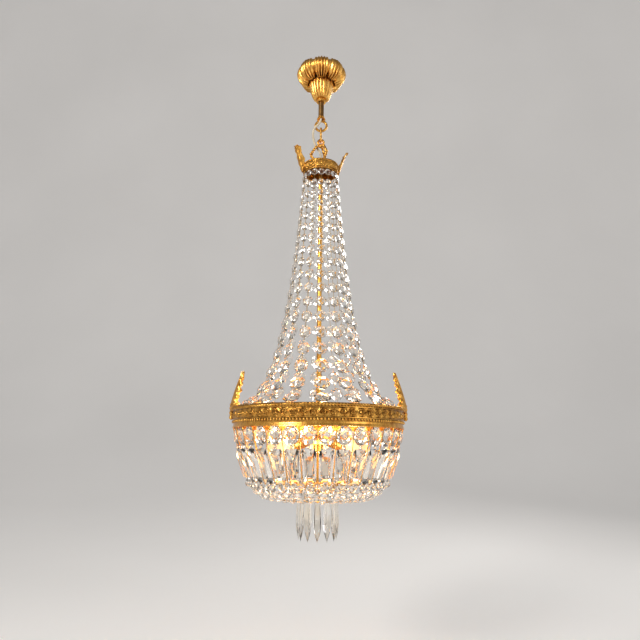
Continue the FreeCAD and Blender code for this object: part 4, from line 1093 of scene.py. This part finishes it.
def bottom_plate():
    """A turned plate with a stepped top and a rounded rim."""
    bore = 4.9
    under, top = levels("bottom_plate")
    profile = [(bore, under), (44, under), (47.2, under + 0.4), (48, under + 1.5), (47.2, top - 0.4),
               (45, top), (43.6, top - 0.8), (20, top - 0.8), (18.5, top), (bore, top)]
    vertices, faces = turned(profile, 120)
    add("bottom_plate_turned", vertices, faces, "gilt_brass", "frame", ["bottom_plate"])


def bottom_finial():
    """A turned nut that closes the rod, with a blind hole for the rod's end."""
    bore, hole_end = 4.9, 8.1
    top = levels("bottom_finial")[1]
    profile = [(bore, top), (8.2, top), (9.0, top - 1.2), (8.2, top - 2.6), (6.8, top - 3.6),
               (7.8, top - 5.4), (8.0, top - 8), (6.6, top - 11), (4.0, top - 13.2), (2.6, top - 14.4),
               (2.0, top - 16), (0.3, top - 16), (0.3, top - hole_end), (bore, top - hole_end)]
    vertices, faces = turned(profile, 48)
    add("bottom_finial_turned", vertices, faces, "gilt_brass", "frame", ["bottom_finial"])


def icicles():
    """Twelve spears, each with its wire eye, on its own body."""
    count, ring_radius, eye, wire = 12, 37.5, 2.1, 0.6
    level = levels("icicle_01")[1] - eye - wire
    spear, spear_faces = spear_cut(top=-2.8, long=96, wide=15.5, thick=10.5, widest=64)
    loop, loop_faces = ring(eye, wire, 0, count=28, segments=8)
    for index in range(count):
        angle = 2 * math.pi * index / count
        out = np.array([math.cos(angle), math.sin(angle), 0])
        across = np.array([-math.sin(angle), math.cos(angle), 0])
        centre = ring_radius * out + (0, 0, level)
        name, body = f"icicle_{index + 1:02d}", f"icicle_{index + 1:02d}_body"
        placed = carried(centre, out, across, (0, 0, 1), spear)
        add(f"{name}_spear", placed, spear_faces, "cut_crystal", body, [name], sharp=0)
        placed = carried(centre, out, (0, 0, 1), -across, loop)
        add(f"{name}_eye", placed, loop_faces, "pin_wire", body, [name])


# ---------------- CAD pieces that stay

STAYING = {
    "gilt_brass": ["suspension_ring", "hanging_link", "canopy_collar", "collar_screw", "central_rod",
                   "rod_nuts", "band_spider", "lamp_hub", "icicle_ring", "bowl_straps"],
    # The crown plate and stem tube take the darkened gilt, a painted shade.
    "gilt_painted_shade": ["stem_tube", "crown_plate"],
    "plated_steel": ["ceiling_bar", "threaded_nipple", "nipple_locknut"],
    "white_plastic": ["terminal_block", "cable_bushing"],
    "ivory_sheath": ["rod_cable"],
}


def dress_cad_pieces():
    """The CAD nodes that stay as they are get a better finish."""
    for look, names in STAYING.items():
        for name in names:
            piece = frame["nodes"][name]
            if not piece.material_slots:
                piece.data.materials.append(None)
            for holder in piece.material_slots:
                holder.link = "OBJECT"
                holder.material = looks[look]


gilt_brass()
gilt_pale()
gilt_frieze()
gilt_painted_shade()
lampholder_brass()
pin_wire()
plated_steel()
cut_crystal()
white_plastic()
ivory_sheath()
lit_bulb()
floor_finish()
camera()
cables()
floor()
lights()
world()
canopy()
stem_ferrule()
yoke_apex()
yoke_arms()
crown_hoop()
crown_leaves()
bead_strands()
strand_pins()
lower_band()
band_leaves()
seam_screw()
bowl_octagons()
bowl_prisms()
bowl_festoons()
wire_hoops()
bulbs()
lampholders()
bottom_plate()
bottom_finial()
icicles()
dress_cad_pieces()

bpy.context.view_layer.update()
